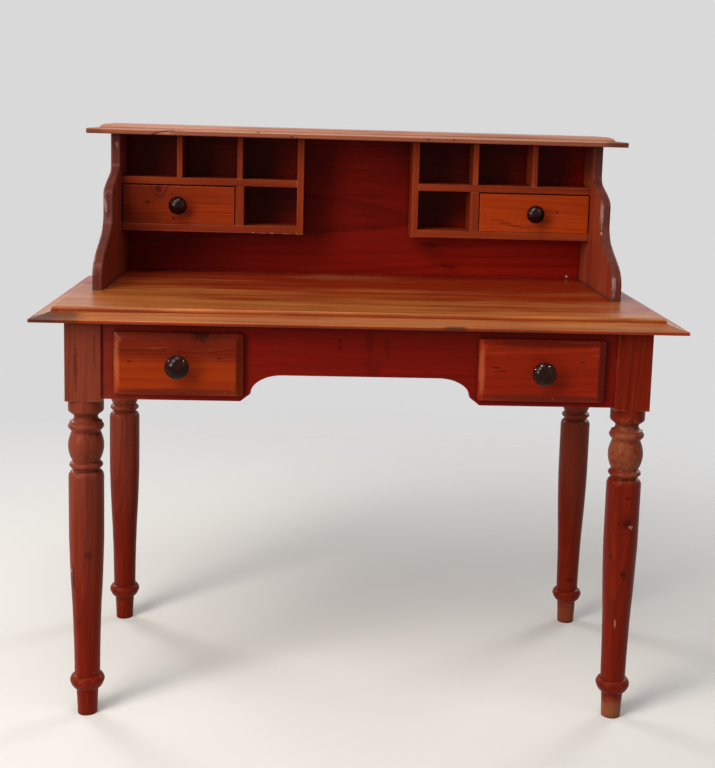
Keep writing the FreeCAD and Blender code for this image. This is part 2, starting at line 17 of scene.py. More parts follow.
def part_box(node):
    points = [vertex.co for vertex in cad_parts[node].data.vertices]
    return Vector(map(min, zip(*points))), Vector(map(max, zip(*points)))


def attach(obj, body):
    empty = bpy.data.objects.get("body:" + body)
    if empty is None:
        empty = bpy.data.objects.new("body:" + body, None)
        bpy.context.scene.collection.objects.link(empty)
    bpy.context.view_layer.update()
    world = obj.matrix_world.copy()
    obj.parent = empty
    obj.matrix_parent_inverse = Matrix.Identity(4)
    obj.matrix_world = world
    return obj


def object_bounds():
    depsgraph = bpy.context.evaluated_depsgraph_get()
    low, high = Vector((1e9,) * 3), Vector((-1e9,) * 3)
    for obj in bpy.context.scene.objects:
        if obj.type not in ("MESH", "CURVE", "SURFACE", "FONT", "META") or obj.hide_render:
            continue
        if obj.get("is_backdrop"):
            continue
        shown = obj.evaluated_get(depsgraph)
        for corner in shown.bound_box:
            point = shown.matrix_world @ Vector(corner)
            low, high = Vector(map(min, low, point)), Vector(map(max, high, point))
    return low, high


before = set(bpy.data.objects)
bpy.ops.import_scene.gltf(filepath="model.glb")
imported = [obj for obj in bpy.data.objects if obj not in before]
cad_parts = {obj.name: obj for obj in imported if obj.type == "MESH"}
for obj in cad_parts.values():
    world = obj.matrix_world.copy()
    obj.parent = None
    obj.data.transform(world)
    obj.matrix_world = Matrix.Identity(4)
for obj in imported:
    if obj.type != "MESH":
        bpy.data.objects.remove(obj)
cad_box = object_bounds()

log = logging.getLogger("desk")

Point = Tuple[float, float, float]
Pair = Tuple[float, float]
Socket = bpy.types.NodeSocket
Feed = Union[float, Sequence[float], Socket]
Sockets = Dict[str, Socket]

HANDS = (("left", -1.0), ("right", 1.0))
ORIGIN: Point = (0.0, 0.0, 0.0)
UP: Point = (0.0, 0.0, 1.0)
FRONT: Point = (0.0, -1.0, 0.0)
HALF = 0.5
RAYS = 8
MIX_COLOURS = (6, 7)


def paint(code: str) -> Tuple[float, float, float, float]:
    """Turns a colour written as it looks on a screen into the linear one that shaders take.

    Args:
        code: Six hexadecimal digits for red, green and blue.

    Returns:
        Linear red, green, blue and a full alpha.
    """
    shown = Color(int(code[start:start + 2], 16) / 255 for start in (0, 2, 4))
    return (*shown.from_srgb_to_scene_linear(), 1.0)


class Lay(Enum):
    """Which axes run along a piece's grain, across its width and through its thickness."""

    FLAT_BOARD = "XYZ"
    FACE_BOARD = "XZY"
    UPRIGHT_BOARD = "ZYX"
    POST = "ZXY"
    DEEP_BOARD = "YZX"


class MarkKind(Enum):
    """What a local mark does to the wood."""

    KNOT = "knot"
    DARK = "dark"
    # Painted shade, laid in the stain's darkest colour.
    STAINED = "stained"
    WORN = "worn"
    CHIP = "chip"
    GOUGE = "gouge"


KNOT, DARK, STAINED, WORN, CHIP, GOUGE = MarkKind


class SocketKind(Enum):
    """Kinds of socket on a shared effect."""

    VALUE = "NodeSocketFloat"
    VECTOR = "NodeSocketVector"

    @classmethod
    def of(cls, start: Feed) -> "SocketKind":
        """Gives the kind that a socket's first value needs."""
        return cls.VECTOR if isinstance(start, tuple) else cls.VALUE


@dataclass(frozen=True)
class Mark:
    """A knot, stain, rubbed patch or chip at one place on a piece."""

    kind: MarkKind
    at: Point
    size: Point
    strength: float = 1.0
    ragged: float = 0.5


Marks = Tuple[Mark, ...]


@dataclass(frozen=True)
class Bleach:
    """Where light and hands have turned a stain to its faded colours, or where those colours are laid as
    painted light or sheen.

    The fading grows along the axis from its first place to its second one, in ragged tongues along the grain.
    Where a way to face is given, only faces that look that way are bleached.
    """

    axis: Point
    span: Pair
    ragged: float = 0.5
    facing: Optional[Point] = None


@dataclass(frozen=True)
class Timber:
    """How one piece was sawn from its log, and what has marked it since.

    The heart is the way from the piece's middle to the log's heart, across the width and through the
    thickness. The lean is how far that heart drifts per metre of length. The figure is how strongly the
    rings show, and the tone how much lighter, or below zero darker, the piece is than its finish. Where
    the rubbed reach is given, only edges in it are worn, and those in a joint stay whole; that lighter
    wear also stands as a painted highlight along those arrises.
    """

    lay: Lay
    heart: Pair
    ring: float
    seed: float
    lean: Pair = (0.0, 0.0)
    wander: float = 0.012
    figure: float = 1.0
    tone: float = 0.0
    bleach: Optional[Bleach] = None
    rub_and_highlight: Optional[Bleach] = None
    marks: Marks = ()


class Graph:
    """Short ways to add nodes to a node tree and to join them."""

    def __init__(self, tree: bpy.types.NodeTree) -> None:
        """Keeps the tree that nodes are added to."""
        self.tree = tree

    def add(self, kind: str, feeds: Optional[Dict[Union[int, str], Feed]] = None,
            **settings: object) -> bpy.types.Node:
        """Adds a node.

        Args:
            kind: The node's type without its common start.
            feeds: What its inputs take, by their numbers or names: an output that is linked, or a constant.
            settings: Values of the node's own properties.

        Returns:
            The new node.
        """
        node = self.tree.nodes.new("ShaderNode" + kind)
        for name, value in settings.items():
            setattr(node, name, value)
        for key, value in (feeds or {}).items():
            if isinstance(value, Socket):
                self.tree.links.new(value, node.inputs[key])
            else:
                node.inputs[key].default_value = value
        return node

    def math(self, operation: str, a: Feed, b: Feed = 0.0, clamp: bool = False) -> Socket:
        """Adds a sum on values, kept from 0 to 1 where asked."""
        return self.add("Math", {0: a, 1: b}, operation=operation, use_clamp=clamp).outputs[0]

    def plus(self, a: Feed, b: Feed) -> Socket:
        """Adds two values."""
        return self.math("ADD", a, b)

    def minus(self, a: Feed, b: Feed) -> Socket:
        """Takes the second value from the first."""
        return self.math("SUBTRACT", a, b)

    def times(self, a: Feed, b: Feed) -> Socket:
        """Multiplies two values."""
        return self.math("MULTIPLY", a, b)

    def vector(self, operation: str, a: Feed, b: Feed = ORIGIN) -> Socket:
        """Adds a sum on vectors. A length and a dot product give a value."""
        node = self.add("VectorMath", {0: a, 1: b}, operation=operation)
        return node.outputs["Value" if operation in ("LENGTH", "DOT_PRODUCT") else "Vector"]

    def split(self, vector: Feed) -> List[Socket]:
        """Takes a vector apart into its three values."""
        return list(self.add("SeparateXYZ", {0: vector}).outputs)

    def join(self, *values: Feed) -> Socket:
        """Makes a vector of three values."""
        return self.add("CombineXYZ", dict(enumerate(values))).outputs[0]

    def blend(self, share: Feed, a: Feed, b: Feed) -> Socket:
        """Mixes two colours by the second one's share."""
        first, second = MIX_COLOURS
        return self.add("Mix", {0: share, first: a, second: b}, data_type="RGBA").outputs[2]

    def ease(self, value: Feed, low: Feed, high: Feed) -> Socket:
        """Eases a value from 0 at the low place to 1 at the high one."""
        feeds = {0: value, 1: low, 2: high}
        return self.add("MapRange", feeds, interpolation_type="SMOOTHSTEP").outputs[0]

    def cloud(self, at: Feed, scale: Union[float, Point], detail: float = 2.0, roughness: float = 0.5,
              shift: Optional[Feed] = None) -> bpy.types.Node:
        """Adds a noise texture.

        Args:
            at: Where it is read.
            scale: How fine it is, all round or along each axis.
            detail: How many finer layers it has.
            roughness: How strong the finer layers are.
            shift: What sets it apart on one piece, if anything does.

        Returns:
            The noise node, with its value and its colour.
        """
        spread = self.vector("MULTIPLY", at, (scale,) * 3 if isinstance(scale, float) else scale)
        where = spread if shift is None else self.vector("ADD", spread, shift)
        return self.add("TexNoise", {"Vector": where, "Scale": 1.0, "Detail": detail, "Roughness": roughness})

    def swing(self, at: Feed, scale: Union[float, Point], detail: float = 2.0, roughness: float = 0.5,
              shift: Optional[Feed] = None) -> Socket:
        """Reads noise as a swing about zero, with what cloud takes."""
        return self.minus(self.cloud(at, scale, detail, roughness, shift).outputs[0], HALF)

    def bump(self, height: Feed, strength: float, distance: float) -> Socket:
        """Turns heights, of which one stands for the distance, into normals."""
        feeds = {"Height": height, "Strength": strength, "Distance": distance}
        return self.add("Bump", feeds).outputs["Normal"]

    def surface(self, feeds: Dict[str, Feed]) -> None:
        """Ends a material with its shader, whose sockets take these feeds."""
        shader = self.add("BsdfPrincipled", feeds)
        self.add("OutputMaterial", {"Surface": shader.outputs["BSDF"]})


def new_material(title: str) -> Tuple[bpy.types.Material, Graph]:
    """Starts a material with no nodes.

    Args:
        title: Its name.

    Returns:
        The material and its nodes.
    """
    made = bpy.data.materials.new(title)
    made.use_nodes = True
    made.node_tree.nodes.clear()
    return made, Graph(made.node_tree)


class Effect:
    """A shared shader effect: one node group with named inputs and outputs, placed in many materials."""

    title: ClassVar[str]
    takes: ClassVar[Dict[str, Feed]]
    gives: ClassVar[Tuple[str, ...]]

    def __init__(self, graph: Graph, given: Sockets) -> None:
        """Keeps the group's inside and its inputs by name."""
        self.graph = graph
        self.given = given

    def wire(self) -> Sockets:
        """Adds the effect's own nodes.

        Returns:
            What the group puts out, by name.
        """
        raise NotImplementedError

    @classmethod
    def tree(cls) -> bpy.types.NodeTree:
        """Makes the effect's node group on its first use.

        Returns:
            The group.
        """
        made = bpy.data.node_groups.get(cls.title)
        if made is None:
            made = bpy.data.node_groups.new(cls.title, "ShaderNodeTree")
            for name, start in cls.takes.items():
                kind = SocketKind.of(start)
                made.interface.new_socket(name, in_out="INPUT", socket_type=kind.value).default_value = start
            for name in cls.gives:
                made.interface.new_socket(name, in_out="OUTPUT", socket_type=SocketKind.VALUE.value)
            way_in = made.nodes.new("NodeGroupInput")
            way_out = made.nodes.new("NodeGroupOutput")
            given = {name: way_in.outputs[name] for name in cls.takes}
            for name, socket in cls(Graph(made), given).wire().items():
                made.links.new(socket, way_out.inputs[name])
        return made

    @classmethod
    def place(cls, graph: Graph, values: Dict[str, Feed]) -> Sockets:
        """Places the effect in a material.

        Args:
            graph: The material's nodes.
            values: What each of the effect's inputs takes.

        Returns:
            The effect's outputs by name.
        """
        node = graph.add("Group", values, node_tree=cls.tree())
        return {name: node.outputs[name] for name in cls.gives}


class RingGrain(Effect):
    """Yearly rings of a log, cut by the piece's faces, so boards show lines, flames and end grain."""

    title = "ring_grain"
    takes = {"Place": ORIGIN, "Heart": ORIGIN, "Lean": ORIGIN, "Ring": 0.005, "Wander": 0.012, "Push": 0.0,
             "Seed": 0.0}
    gives = ("Late", "Year")
    seed_stride = 1.7
    bend_scale = (1.6, 3.5, 3.5)
    ripple_scale = (7.0, 45.0, 45.0)
    ripple_reach = 0.0022
    uneven_scale = (0.37, 1.0, 1.0)
    uneven_years = 2.0
    rise = (0.25, 0.86)
    fall = (1.0, 0.90)
    faintest = 0.25

    def wire(self) -> Sockets:
        """Works out the distance from the log's heart and cuts it into years.

        Returns:
            How much late wood there is, and a number for each year.
        """
        graph, given = self.graph, self.given
        place, seed = given["Place"], given["Seed"]
        shift = graph.join(seed, graph.times(seed, self.seed_stride), 0.0)
        drift = graph.vector("MULTIPLY", given["Lean"], graph.join(*[graph.split(place)[0]] * 3))
        bend = graph.cloud(place, self.bend_scale, detail=1.0, shift=shift).outputs["Color"]
        bend = graph.vector("SUBTRACT", bend, (HALF, HALF, HALF))
        way = graph.vector("SUBTRACT", graph.vector("SUBTRACT", place, given["Heart"]), drift)
        way = graph.vector("ADD", way, graph.vector("MULTIPLY", bend, graph.join(*[given["Wander"]] * 3)))
        distance = graph.vector("LENGTH", graph.vector("MULTIPLY", way, (0.0, 1.0, 1.0)))
        ripple = graph.swing(place, self.ripple_scale, shift=shift)
        distance = graph.plus(distance, graph.times(ripple, self.ripple_reach))
        years = graph.math("DIVIDE", graph.plus(distance, given["Push"]), given["Ring"])
        uneven = graph.cloud(graph.join(years, seed, 0.0), self.uneven_scale, detail=0.0).outputs[0]
        years = graph.plus(years, graph.times(uneven, self.uneven_years))
        part = graph.math("FRACT", years)
        band = graph.times(graph.ease(part, *self.rise), graph.ease(part, *self.fall))
        whole = graph.join(graph.math("FLOOR", years), seed, 0.0)
        year = graph.add("TexWhiteNoise", {"Vector": whole}, noise_dimensions="2D").outputs["Value"]
        depth = graph.plus(graph.times(year, 1.0 - self.faintest), self.faintest)
        return {"Late": graph.times(band, depth), "Year": year}


class Fibres(Effect):
    """Fine fibres along the grain, and the broad streaks in which stain has taken more or less."""

    title = "fibres_and_streaks"
    takes = {"Place": ORIGIN, "Seed": 0.0}
    gives = ("Fine", "Streak", "Broad")
    seed_stride = 2.3
    roughness = 0.6
    layers = (
        ((9.0, 520.0, 520.0), 2.0, (0.3, 0.7)),
        ((2.6, 75.0, 75.0), 3.0, (0.42, 0.72)),
        ((1.5, 11.0, 11.0), 2.0, (0.3, 0.7)),
    )

    def wire(self) -> Sockets:
        """Reads three noises that are stretched along the grain.

        Returns:
            Fine fibres, streaks and broad bands.
        """
        graph, given = self.graph, self.given
        seed = given["Seed"]
        shift = graph.join(graph.times(seed, self.seed_stride), seed, seed)
        made = {}
        for name, (scale, detail, limits) in zip(self.gives, self.layers):
            noise = graph.cloud(given["Place"], scale, detail, self.roughness, shift).outputs[0]
            made[name] = graph.ease(noise, *limits)
        return made


class Spot(Effect):
    """A ragged round mark at one place, with a wide soft surround."""

    title = "spot"
    takes = {"At": ORIGIN, "Centre": ORIGIN, "Size": (0.01, 0.01, 0.01), "Ragged": 0.5}
    gives = ("Mask", "Near")
    fine_noise = (130.0, 3.0, 0.65)
    broad_noise = (1.3, 2.0)
    uneven_reach = 1.6
    rim = (1.0, 0.45)
    surround = (3.2, 0.4)

    def wire(self) -> Sockets:
        """Measures the distance from the mark's middle in its own sizes.

        Returns:
            The mark's mask and its surround.
        """
        graph, given = self.graph, self.given
        way = graph.vector("SUBTRACT", given["At"], given["Centre"])
        way = graph.vector("DIVIDE", way, given["Size"])
        distance = graph.vector("LENGTH", way)
        uneven = graph.plus(graph.swing(given["At"], *self.fine_noise), graph.swing(way, *self.broad_noise))
        uneven = graph.times(graph.times(uneven, given["Ragged"]), self.uneven_reach)
        mask = graph.ease(graph.plus(distance, uneven), *self.rim)
        return {"Mask": mask, "Near": graph.ease(distance, *self.surround)}


class Fading(Effect):
    """Stain bleached along one axis, in ragged tongues that follow the grain; also used to paint light and
    sheen.
    """

    title = "fading"
    takes = {"At": ORIGIN, "Place": ORIGIN, "Axis": UP, "Low": 0.0, "High": 1.0, "Ragged": 0.5, "Facing": UP,
             "Faced": 0.0, "Normal": UP}
    gives = ("Mask",)
    tongues = ((3.2, 34.0, 34.0), 3.0, 0.6)
    patches = ((3.0, 7.0, 7.0), 2.0)
    uneven_reach = 2.2
    turn = (0.0, 0.45)

    def wire(self) -> Sockets:
        """Eases along the axis, breaks the limit up and keeps it to faces that look one way where asked.

        Returns:
            The mask of what is bleached.
        """
        graph, given = self.graph, self.given
        place, low = given["Place"], given["Low"]
        along = graph.minus(graph.vector("DOT_PRODUCT", given["At"], given["Axis"]), low)
        way = graph.math("DIVIDE", along, graph.minus(given["High"], low))
        uneven = graph.plus(graph.swing(place, *self.tongues), graph.swing(place, *self.patches))
        uneven = graph.times(graph.times(uneven, given["Ragged"]), self.uneven_reach)
        reached = graph.ease(graph.plus(way, uneven), 0.0, 1.0)
        facing = graph.ease(graph.vector("DOT_PRODUCT", given["Normal"], given["Facing"]), *self.turn)
        turned = graph.times(given["Faced"], graph.minus(1.0, facing))
        return {"Mask": graph.times(reached, graph.minus(1.0, turned))}


class EdgeWear(Effect):
    """Rubbed arrises: a mask along outward edges, broken up as hands and knocks leave it."""

    title = "edge_wear"
    takes = {"At": ORIGIN, "Width": 0.004, "Amount": 0.5}
    gives = ("Mask",)
    patches = (34.0, 5.0, 0.7)
    edge = (0.92, 0.45)
    unworn = 0.88
    amount_reach = 0.8
    patch_edge = (0.10, 0.14)

    def wire(self) -> Sockets:
        """Finds edges by how soon rays inside the piece come out again.

        Returns:
            The mask of what is rubbed.
        """
        graph, given = self.graph, self.given
        patchy = graph.cloud(given["At"], *self.patches).outputs[0]
        reach = graph.times(given["Width"], graph.plus(patchy, HALF))
        inside = graph.add(
            "AmbientOcclusion", {"Distance": reach}, inside=True, only_local=True, samples=RAYS)
        edge = graph.ease(inside.outputs["AO"], *self.edge)
        least = graph.minus(self.unworn, graph.times(given["Amount"], self.amount_reach))
        below, above = self.patch_edge
        kept = graph.ease(patchy, graph.minus(least, below), graph.plus(least, above))
        return {"Mask": graph.times(edge, kept)}


class Knocks(Effect):
    """Small dents, specks and scratches scattered over a varnished face."""

    title = "knocks"
    takes = {"At": ORIGIN, "Place": ORIGIN, "Seed": 0.0}
    gives = ("Dent", "Speck", "Scratch")
    blots = {"Dent": (21.0, 0.10, 0.72), "Speck": (46.0, 0.12, 0.86)}
    blot_core = 0.4
    scratch_scale = (14.0, 260.0, 260.0)
    scratch_edge = (0.70, 0.76)

    def wire(self) -> Sockets:
        """Keeps the few cells and streaks of three textures that stand out.

        Returns:
            Masks of the dents, specks and scratches.
        """
        graph, given = self.graph, self.given
        shift = graph.join(*[given["Seed"]] * 3)
        made = {}
        for name, (scale, size, few) in self.blots.items():
            where = graph.vector("ADD", given["At"], shift)
            cells = graph.add("TexVoronoi", {"Vector": where, "Scale": scale})
            blot = graph.ease(cells.outputs["Distance"], size, size * self.blot_core)
            chosen = graph.math("GREATER_THAN", graph.split(cells.outputs["Color"])[0], few)
            made[name] = graph.times(blot, chosen)
        streaks = graph.cloud(given["Place"], self.scratch_scale, detail=1.0, shift=shift).outputs[0]
        return {**made, "Scratch": graph.ease(streaks, *self.scratch_edge)}


class DirtAndShade(Effect):
    """Old wax and dirt that stays in corners and under lips, together with painted shade there."""

    title = "dirt_and_shade"
    takes = {"At": ORIGIN, "Reach": 0.012}
    gives = ("Mask",)
    corner = (0.95, 0.35)
    patches = (60.0, 3.0)
    patch_share = 0.6

    def wire(self) -> Sockets:
        """Finds what lies close to other faces.

        Returns:
            The mask of what is dirty or lies in painted shade.
        """
        graph, given = self.graph, self.given
        open_sky = graph.add("AmbientOcclusion", {"Distance": given["Reach"]}, samples=RAYS)
        shut = graph.ease(open_sky.outputs["AO"], *self.corner)
        patchy = graph.times(graph.cloud(given["At"], *self.patches).outputs[0], self.patch_share)
        return {"Mask": graph.times(shut, graph.plus(patchy, HALF))}


class VarnishFilm(Effect):
    """How the varnish lies: its roughness, and the height of grain, dents and rubbed places under it."""

    title = "varnish_film"
    takes = {"At": ORIGIN, "Base": 0.35, "Late": 0.0, "Fine": 0.0, "Wear": 0.0, "Dent": 0.0}
    gives = ("Roughness", "Height")
    smears = (9.0, 4.0, 0.6)
    roughening = {"Smear": 0.28, "Wear": 0.2, "Fine": 0.06}
    heights = {"Fine": 0.16, "Late": 0.22, "Smear": 0.5, "Dent": -1.3}

    def wire(self) -> Sockets:
        """Adds hand-rubbed smears to the gloss and sums up the heights.

        Returns:
            The roughness and the height.
        """
        graph, given = self.graph, self.given
        parts = {**given, "Smear": graph.swing(given["At"], *self.smears)}
        rough, height = given["Base"], 0.0
        for name, share in self.roughening.items():
            rough = graph.plus(rough, graph.times(parts[name], share))
        for name, share in self.heights.items():
            height = graph.plus(height, graph.times(parts[name], share))
        return {"Roughness": rough, "Height": height}


@dataclass(frozen=True)
class Stain:
    """The colours that one stain takes on pine, from early wood to the darkest streaks."""

    pale: str
    body: str
    late: str
    streak: str
    year_share: float = 0.3

    def colour(self, graph: Graph, grain: Sockets, fibres: Sockets, shares: Point) -> Socket:
        """Mixes the stain's colours by the grain.

        Args:
            graph: The material's nodes.
            grain: The rings.
            fibres: The fibres and streaks.
            shares: How strongly the rings, the streaks and the fibres show.

        Returns:
            The colour of the wood.
        """
        rings, streaks, fine = shares
        late = graph.math("MULTIPLY", grain["Late"], rings, clamp=True)
        colour = graph.blend(fibres["Broad"], paint(self.body), paint(self.pale))
        for share, tint in (
                (graph.times(grain["Year"], self.year_share), self.body),
                (late, self.late),
                (graph.times(fibres["Streak"], streaks), self.streak),
                (graph.times(fibres["Fine"], fine), self.late)):
            colour = graph.blend(share, colour, paint(tint))
        return colour


def middle_of(piece: bpy.types.Object) -> Point:
    """Finds the middle of a piece's box.

    Args:
        piece: The piece.

    Returns:
        The middle, in the piece's own frame.
    """
    low, high = Vector(piece.bound_box[0]), Vector(piece.bound_box[6])
    return tuple((low + high) / 2)


@dataclass(frozen=True)
class Finish:
    """A named finish, and how it goes onto a piece."""

    name: str

    def start(self, piece: bpy.types.Object) -> Tuple[Graph, Socket]:
        """Gives a piece an empty material in place of what it had.

        Args:
            piece: The piece to dress.

        Returns:
            The material's nodes, and the place on the desk that they read.
        """
        made, graph = new_material(f"{self.name}_{piece.name}")
        piece.data.materials.clear()
        piece.data.materials.append(made)
        log.info("%s: %s", piece.name, self.name)
        return graph, graph.add("TexCoord").outputs["Object"]


@dataclass(frozen=True)
class PineFinish(Finish):
    """A stain and varnish on pine, as it is applied to any piece of the desk."""

    stain: Stain
    knot: str
    worn: str
    faded: Optional[Stain] = None
    chip: str = "b98a66"
    ring_share: float = 0.6
    streak_share: float = 0.5
    fibre_share: float = 0.22
    gloss: float = 0.36
    specular: float = 0.15
    reflection: str = "ffb092"
    coat: float = 0.05
    coat_roughness: float = 0.14
    wear: float = 0.4
    wear_share: float = 0.6
    wear_width: float = 0.005
    knock_share: float = 0.6
    speck_part: float = 0.5
    scratch_part: float = 0.22
    dirt_and_shade_share: float = 0.5
    mark_cover: float = 0.85
    knot_halo: float = 0.3
    knot_reach: float = 1.1
    hollow: float = 1.5
    bump: float = 0.0007
    bump_strength: float = 0.6

    def dress(self, piece: bpy.types.Object, timber: Timber) -> None:
        """Gives a piece, sawn and marked as told, this finish."""
        PineCoat(self, piece, timber).lay_on()


class PineCoat:
    """A finish on one piece, while its material is made."""

    def __init__(self, finish: PineFinish, piece: bpy.types.Object, timber: Timber) -> None:
        """Starts the material with the piece's marks and grain.

        Args:
            finish: The stain and varnish.
            piece: The piece to dress.
            timber: How the piece was sawn and marked.
        """
        self.finish = finish
        self.timber = timber
        self.graph, self.at = finish.start(piece)
        inside = self.graph.split(self.graph.vector("SUBTRACT", self.at, middle_of(piece)))
        self.place = self.graph.join(*(inside["XYZ".index(axis)] for axis in timber.lay.value))
        self.spots: List[Tuple[Mark, Sockets]] = [(mark, Spot.place(self.graph, {
            "At": self.at, "Centre": mark.at, "Size": mark.size, "Ragged": mark.ragged,
        })) for mark in timber.marks]
        self.grain = RingGrain.place(self.graph, {
            "Place": self.place, "Heart": (0.0, *timber.heart), "Lean": (0.0, *timber.lean),
            "Ring": timber.ring, "Wander": timber.wander, "Push": self.knot_push(), "Seed": timber.seed,
        })
        self.fibres = Fibres.place(self.graph, {"Place": self.place, "Seed": timber.seed})

    def lay_on(self) -> None:
        """Colours the wood, lays its marks and wear over it, and varnishes it."""
        graph, finish, timber = self.graph, self.finish, self.timber
        wear = EdgeWear.place(graph, {
            "At": self.at, "Width": finish.wear_width, "Amount": finish.wear})["Mask"]
        if timber.rub_and_highlight:
            wear = graph.times(wear, self.fading(timber.rub_and_highlight))
        knocks = Knocks.place(graph, {"At": self.at, "Place": self.place, "Seed": timber.seed})
        # Ambient occlusion darkens corners and the spaces under lips: old dirt, and painted shade there too.
        dirt_and_shade = DirtAndShade.place(graph, {"At": self.at})["Mask"]
        colour = self.wood_colour()
        for mark, spot in self.spots:
            colour = self.marked(colour, mark, spot)
        for mask, share, tint in (
                (knocks["Dent"], finish.knock_share, finish.knot),
                (knocks["Speck"], finish.speck_part * finish.knock_share, finish.worn),
                (knocks["Scratch"], finish.scratch_part * finish.knock_share, finish.worn),
                (wear, finish.wear_share, finish.worn),
                (dirt_and_shade, finish.dirt_and_shade_share, finish.knot)):
            colour = graph.blend(graph.times(mask, share), colour, paint(tint))
        film = VarnishFilm.place(graph, {
            "At": self.at, "Base": finish.gloss, "Late": self.grain["Late"], "Fine": self.fibres["Fine"],
            "Wear": wear, "Dent": self.dents(knocks["Dent"]),
        })
        graph.surface({
            "Base Color": colour,
            "Roughness": film["Roughness"],
            "Normal": graph.bump(film["Height"], finish.bump_strength, finish.bump),
            "Specular IOR Level": finish.specular,
            "Specular Tint": paint(finish.reflection),
            "Coat Weight": finish.coat,
            "Coat Roughness": finish.coat_roughness,
        })

    def knot_push(self) -> Feed:
        """Adds up how far knots push the rings aside.

        Returns:
            The push in metres, or zero for a piece with no knot.
        """
        push: Feed = 0.0
        for mark, spot in self.spots:
            if mark.kind is KNOT:
                reach = min(mark.size) * mark.strength * self.finish.knot_reach
                push = self.graph.plus(push, self.graph.times(spot["Near"], reach))
        return push

    def dents(self, depth: Feed) -> Feed:
        """Adds the hollows of knots and chips to the scattered dents.

        Args:
            depth: The scattered dents.

        Returns:
            How deep each place is dented.
        """
        for mark, spot in self.spots:
            if mark.kind in (KNOT, CHIP, GOUGE):
                hollow = self.graph.times(spot["Mask"], self.finish.hollow * mark.strength)
                depth = self.graph.plus(depth, hollow)
        return depth

    def wood_colour(self) -> Socket:
        """Colours the wood between its marks, faded where the piece is bleached, and lighter where light or
        sheen is painted.

        Returns:
            The colour.
        """
        finish, timber = self.finish, self.timber
        shares = (finish.ring_share * timber.figure, finish.streak_share, finish.fibre_share)
        colour = finish.stain.colour(self.graph, self.grain, self.fibres, shares)
        if timber.bleach and finish.faded:
            faded = finish.faded.colour(self.graph, self.grain, self.fibres, shares)
            colour = self.graph.blend(self.fading(timber.bleach), colour, faded)
        if timber.tone:
            other = finish.stain.pale if timber.tone > 0 else finish.stain.streak
            colour = self.graph.blend(abs(timber.tone), colour, paint(other))
        return colour

    def fading(self, bleach: Bleach) -> Socket:
        """Places the mask of a bleached, rubbed or painted-lit stretch.

        Args:
            bleach: Where the stretch lies.

        Returns:
            The mask.
        """
        return Fading.place(self.graph, {
            "At": self.at, "Place": self.place, "Axis": bleach.axis, "Low": bleach.span[0],
            "High": bleach.span[1], "Ragged": bleach.ragged, "Facing": bleach.facing or UP,
            "Faced": 1.0 if bleach.facing else 0.0,
            "Normal": self.graph.add("NewGeometry").outputs["Normal"],
        })["Mask"]

    def marked(self, colour: Feed, mark: Mark, spot: Sockets) -> Socket:
        """Lays a mark over the wood's colour.

        Args:
            colour: The colour so far.
            mark: The mark.
            spot: Its masks.

        Returns:
            The colour with the mark.
        """
        graph, finish = self.graph, self.finish
        # Painted shade takes the stain's darkest streak colour.
        tints = {WORN: finish.worn, CHIP: finish.chip, STAINED: finish.stain.streak}
        if mark.kind is KNOT:
            halo = graph.times(spot["Near"], finish.knot_halo * mark.strength)
            colour = graph.blend(halo, colour, paint(finish.stain.late))
        cover = graph.math("MULTIPLY", spot["Mask"], finish.mark_cover * mark.strength, clamp=True)
        return graph.blend(cover, colour, paint(tints.get(mark.kind, finish.knot)))


@dataclass(frozen=True)
class KnobFinish(Finish):
    """Nearly black, glossy turned wood, with fine lathe lines and a rubbed crown."""

    body: str = "280e09"
    deep: str = "150604"
    rubbed: str = "3e1e17"
    reflection: str = "ff9c80"
    blotches: Point = (70.0, 4.0, 0.6)
    blotch_edge: Pair = (0.35, 0.7)
    blotch_height: float = 1.5
    wear: float = 0.35
    wear_width: float = 0.004
    wear_share: float = 0.6
    lathe_step: float = 0.0011
    least_roughness: float = 0.12
    blotch_roughness: float = 0.16
    bump: float = 0.0002
    bump_strength: float = 0.12
    specular: float = 0.05
    coat: float = 0.17
    coat_roughness: float = 0.025

    def dress(self, piece: bpy.types.Object, seed: float) -> None:
        """Gives a knob this finish.

        Args:
            piece: The knob.
            seed: What sets this knob's wear apart from the others'.
        """
        graph, at = self.start(piece)
        at = graph.vector("SUBTRACT", at, middle_of(piece))
        radius = graph.vector("LENGTH", graph.vector("MULTIPLY", at, (1.0, 0.0, 1.0)))
        turned = graph.math("FRACT", graph.math("DIVIDE", radius, self.lathe_step))
        turned = graph.math("ABSOLUTE", graph.minus(turned, HALF))
        blotch = graph.cloud(at, *self.blotches, (seed, seed, seed)).outputs[0]
        wear = EdgeWear.place(graph, {"At": at, "Width": self.wear_width, "Amount": self.wear})["Mask"]
        colour = graph.blend(graph.ease(blotch, *self.blotch_edge), paint(self.deep), paint(self.body))
        height = graph.plus(turned, graph.times(blotch, self.blotch_height))
        graph.surface({
            "Base Color": graph.blend(graph.times(wear, self.wear_share), colour, paint(self.rubbed)),
            "Roughness": graph.plus(graph.times(blotch, self.blotch_roughness), self.least_roughness),
            "Normal": graph.bump(height, self.bump_strength, self.bump),
            "Specular IOR Level": self.specular,
            "Specular Tint": paint(self.reflection),
            "Coat Weight": self.coat,
            "Coat Roughness": self.coat_roughness,
        })


@dataclass(frozen=True)
class SteelFinish(Finish):
    """Bright or browned steel of screws and nails."""

    bright: str
    rust: str
    rust_share: float
    specks: Point = (900.0, 4.0, 0.65)
    rust_edge: Pair = (0.75, 0.95)
    rust_reach: float = 0.5
    roughness: float = 0.35
    rust_roughness: float = 0.4

    def dress(self, piece: bpy.types.Object) -> None:
        """Gives a screw or a nail this finish.

        Args:
            piece: The screws or the nail.
        """
        graph, at = self.start(piece)
        limits = (limit - self.rust_reach * self.rust_share for limit in self.rust_edge)
        rusted = graph.ease(graph.cloud(at, *self.specks).outputs[0], *limits)
        graph.surface({
            "Base Color": graph.blend(rusted, paint(self.bright), paint(self.rust)),
            "Metallic": graph.minus(1.0, rusted),
            "Roughness": graph.plus(graph.times(rusted, self.rust_roughness), self.roughness),
        })
